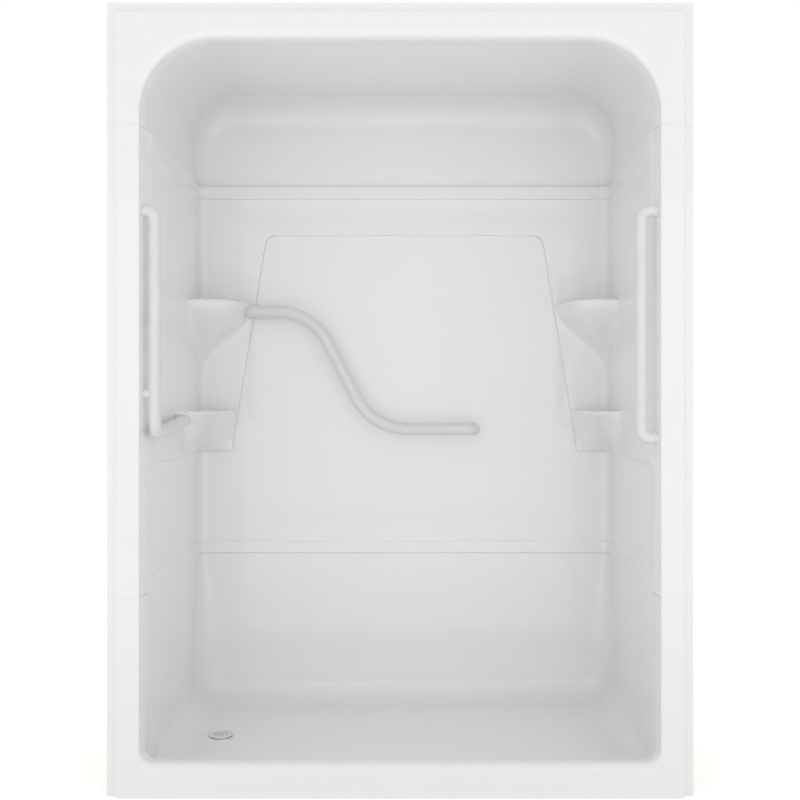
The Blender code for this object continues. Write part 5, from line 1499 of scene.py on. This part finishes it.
class Fasteners(bpy.types.Operator):
    """Make the bolts and washers that hold the bar ends from behind the walls"""
    bl_idname = "shower.fasteners"
    bl_label = "Fasteners"

    washer_hole: length("Washer hole", "Radius of the hole in each washer", 0.0046)
    head: length("Head height", "Height of each hexagon head", 0.0053)
    across: length("Across flats", "Width of each hexagon head", 0.013)
    shank: length("Shank radius", "Half the diameter of each bolt", 0.004)

    def execute(self, context):
        finish = finish_named(context, "zinc")
        for name in sorted(frame["nodes"]):
            if name.endswith("_bolt"):
                self.bolt(name, finish)
            elif name.endswith("_washer") and not name.startswith("drain"):
                self.washer(name, finish)
        return {"FINISHED"}

    def axis_of(self, name):
        """Outward direction of a fastener: along the depth at the back, else away from the middle."""
        low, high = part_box(name)
        middle = np.array((low + high) / 2)
        if name.startswith("back_bar"):
            return np.array((0.0, 1.0, 0.0)), middle, high.y - low.y
        return np.array((math.copysign(1.0, middle[0]), 0.0, 0.0)), middle, high.x - low.x

    def bolt(self, name, finish):
        """Threaded shank as fine rings, a chamfered point, and a hexagon head with a turned top."""
        axis, middle, reach = self.axis_of(name)
        sides, length_of_shank = 48, reach - self.head
        turn = full_turn(sides)
        flat = self.across / 2
        hexagon = flat / np.cos((turn + math.pi / 6) % (math.pi / 3) - math.pi / 6)
        thread = np.arange(THREAD_ENDS[0], length_of_shank - THREAD_ENDS[1], THREAD_STEP)
        depth = THREAD_DEPTH * (1.0 - np.cos(2 * math.pi * thread / THREAD_PITCH)) / 2
        rings = [np.full(sides, self.shank - POINT_CHAMFER)]
        rings += [np.full(sides, self.shank - value) for value in depth]
        rings += [np.full(sides, self.shank)] * 2
        heights = [0.0, *thread, length_of_shank - THREAD_ENDS[0], length_of_shank]
        rings += [hexagon * HEAD_FOOT, hexagon, hexagon]
        rings += [np.minimum(hexagon, flat * HEAD_CORNER), np.full(sides, flat * HEAD_TOP)]
        heights += [length_of_shank + self.head * share for share in HEAD_LEVELS]
        start = middle - axis * reach / 2
        made = stacked(name + "_zinc", np.array(rings), np.array(heights), start, axis, finish)
        place(made, "zinc_plated_steel", name)

    def washer(self, name, finish):
        axis, middle, thick = self.axis_of(name)
        low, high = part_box(name)
        corners = ring_corners((high.z - low.z) / 2, -thick / 2, thick / 2, self.washer_hole)
        made = turned(name + "_zinc", rounded_profile(corners, WASHER_EDGE), middle, 48, finish, axis)
        place(made, "zinc_plated_steel", name)


class Supports(bpy.types.Operator):
    """Make the backing boards, the battens and the pads under the pan"""
    bl_idname = "shower.supports"
    bl_label = "Boards, Battens and Pads"

    board_edge: length("Board edge", "Rounding of the sawn edges", 0.0012)
    pad_edge: length("Pad edge", "Rounding of the moulded pads", 0.003)
    roof_batten: length("Roof batten", "Height of each roof batten", 0.022)
    jamb_side: length("Jamb side", "Half width between the boards behind the jambs", 0.679, high=1.0)

    def execute(self, context):
        for name in sorted(frame["nodes"]):
            low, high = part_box(name)
            if name.endswith("_pad"):
                finish = finish_named(context, "beads")
                edge = min(self.pad_edge, (high.z - low.z) / 3)
                place(rounded_box(name + "_foam", low, high, edge, finish), "rigid_foam", name)
            elif "batten" in name or "board" in name:
                slope = 0.0
                if name.startswith("roof"):
                    slope = (high.z - low.z - self.roof_batten) / (high.y - low.y)
                    high.z = low.z + self.roof_batten
                if name == "left_jamb_board":
                    high.x = -self.jamb_side
                if name == "right_jamb_board":
                    low.x = self.jamb_side
                finish = finish_named(context, "ply")
                place(rounded_box(name + "_ply", low, high, self.board_edge, finish, slope), "plywood", name)
        return {"FINISHED"}


class SeamTapes(bpy.types.Operator):
    """Give the tape in the two joints its foam finish"""
    bl_idname = "shower.seam_tapes"
    bl_label = "Seam Tapes"

    def execute(self, context):
        for name in ("lower_seam_tape", "upper_seam_tape"):
            tape = frame["nodes"][name]
            tape.data.materials.clear()
            tape.data.materials.append(finish_named(context, "tape"))
        return {"FINISHED"}


def camera_rays(tree):
    """1 for rays from the camera and for mirrored and transmitted ones, else 0."""
    path = node(tree, "LightPath")
    total = path.outputs["Is Camera Ray"]
    for kind in ("Is Glossy Ray", "Is Transmission Ray"):
        total = maths(tree, "MAXIMUM", total, path.outputs[kind])
    return total


class Stage(bpy.types.Operator):
    """Make the pale floor, the even studio light and the camera in front of the opening"""
    bl_idname = "shower.stage"
    bl_label = "Studio"

    floor_size: length("Floor", "Length of each side of the floor", 24.0, 1.0, 100.0)

    def execute(self, context):
        self.floor(context)
        self.light(context)
        self.panels(context)
        self.camera(context)
        return {"FINISHED"}

    def floor(self, context):
        half = self.floor_size / 2
        across = np.linspace(-half, half, 3)
        x, y = np.meshgrid(across, across, indexing="ij")
        points = np.stack([x, y, np.full_like(x, FLOOR_LEVEL)], axis=-1).reshape(-1, 3)
        quads = np.array([[k, k + 3, k + 4, k + 1] for k in (0, 1, 3, 4)])
        made = mesh_object("studio_floor", points, [(quads, 0)], [self.floor_finish(context)], 30.0)

    def floor_finish(self, context):
        """Matt paint with a faint grain, lifted to white for the camera but still shaded."""
        made = bpy.data.materials.new("matt_white_studio_paint")
        tree = empty_tree(made)
        place = node(tree, "TexCoord").outputs["Object"]
        paint = (*context.scene.shower_colours.floor, 1.0)
        tint = mottled(tree, place, 400.0, paint, 0.995)
        matt = node(tree, "BsdfDiffuse", {"Color": tint})
        glow = spread(tree, camera_rays(tree), 0.0, context.scene.shower_light.floor_glow)
        lift = node(tree, "Emission", {"Color": (1.0, 1.0, 1.0, 1.0), "Strength": glow})
        both = node(tree, "AddShader", {0: matt.outputs["BSDF"], 1: lift.outputs["Emission"]})
        node(tree, "OutputMaterial", {"Surface": both.outputs["Shader"]})
        return made

    def light(self, context):
        """An even surround: plain white for the camera and mirrors, its own level for the light."""
        studio = bpy.data.worlds.new("studio")
        tree = empty_tree(studio)
        strength = spread(tree, camera_rays(tree), context.scene.shower_light.surround, 1.0)
        around = node(tree, "Background", {"Color": (1.0, 1.0, 1.0, 1.0), "Strength": strength})
        node(tree, "OutputWorld", {"Surface": around.outputs["Background"]})
        context.scene.world = studio

    def panels(self, context):
        """A soft panel beyond the camera, which the gloss mirrors, and one over the floor."""
        for name, size, place_at, tilt, opening in SOFT_PANELS:
            lamp = bpy.data.lights.new(name, "AREA")
            lamp.shape = "RECTANGLE"
            lamp.size, lamp.size_y = size
            lamp.spread = opening
            lamp.energy = getattr(context.scene.shower_light, name) * math.pi * size[0] * size[1]
            panel = bpy.data.objects.new(name, lamp)
            panel.location = place_at
            panel.rotation_euler = (tilt, 0.0, 0.0)
            panel.visible_camera = False
            context.scene.collection.objects.link(panel)

    def camera(self, context):
        """The photograph's view: level, before the middle of the face, with a small shift."""
        lens = bpy.data.cameras.new("camera")
        for key, value in CAMERA_LENS.items():
            setattr(lens, key, value)
        lens.clip_end = CAMERA_REACH
        camera = bpy.data.objects.new("camera", lens)
        camera.location = CAMERA_PLACE
        camera.rotation_euler = (math.pi / 2, 0.0, 0.0)
        context.scene.collection.objects.link(camera)
        context.scene.camera = camera
        context.scene.view_settings.view_transform = "Standard"


class ShowerPanel(bpy.types.Panel):
    """The sizes, the colours and the steps, in the order in which they are run."""
    bl_idname = "VIEW3D_PT_shower"
    bl_label = "Shower Module"
    bl_space_type = "VIEW_3D"
    bl_region_type = "UI"
    bl_category = "Shower"

    def draw(self, context):
        for name in GROUPS:
            box = self.layout.box()
            group = getattr(context.scene, name)
            for key in group.__annotations__:
                box.prop(group, key)
        for step in STEPS:
            self.layout.operator(step.bl_idname)


GROUPS = {
    "shower_shells": ShellSizes,
    "shower_bars": BarSizes,
    "shower_drain": DrainSizes,
    "shower_colours": FinishColours,
    "shower_light": StageLight,
}
STEPS = (BasePan, WallSurround, RoofDome, EntryBars, BackBar, Drain, Fasteners, Supports, SeamTapes, Stage)


def register():
    for made in (*GROUPS.values(), *STEPS, ShowerPanel):
        bpy.utils.register_class(made)
    for name, group in GROUPS.items():
        setattr(bpy.types.Scene, name, bpy.props.PointerProperty(type=group))


def unregister():
    for name in GROUPS:
        delattr(bpy.types.Scene, name)
    for made in (ShowerPanel, *reversed(STEPS), *GROUPS.values()):
        bpy.utils.unregister_class(made)


def main():
    register()
    for step in STEPS:
        family, name = step.bl_idname.split(".")
        getattr(getattr(bpy.ops, family), name)()


if __name__ == "__main__":
    main()
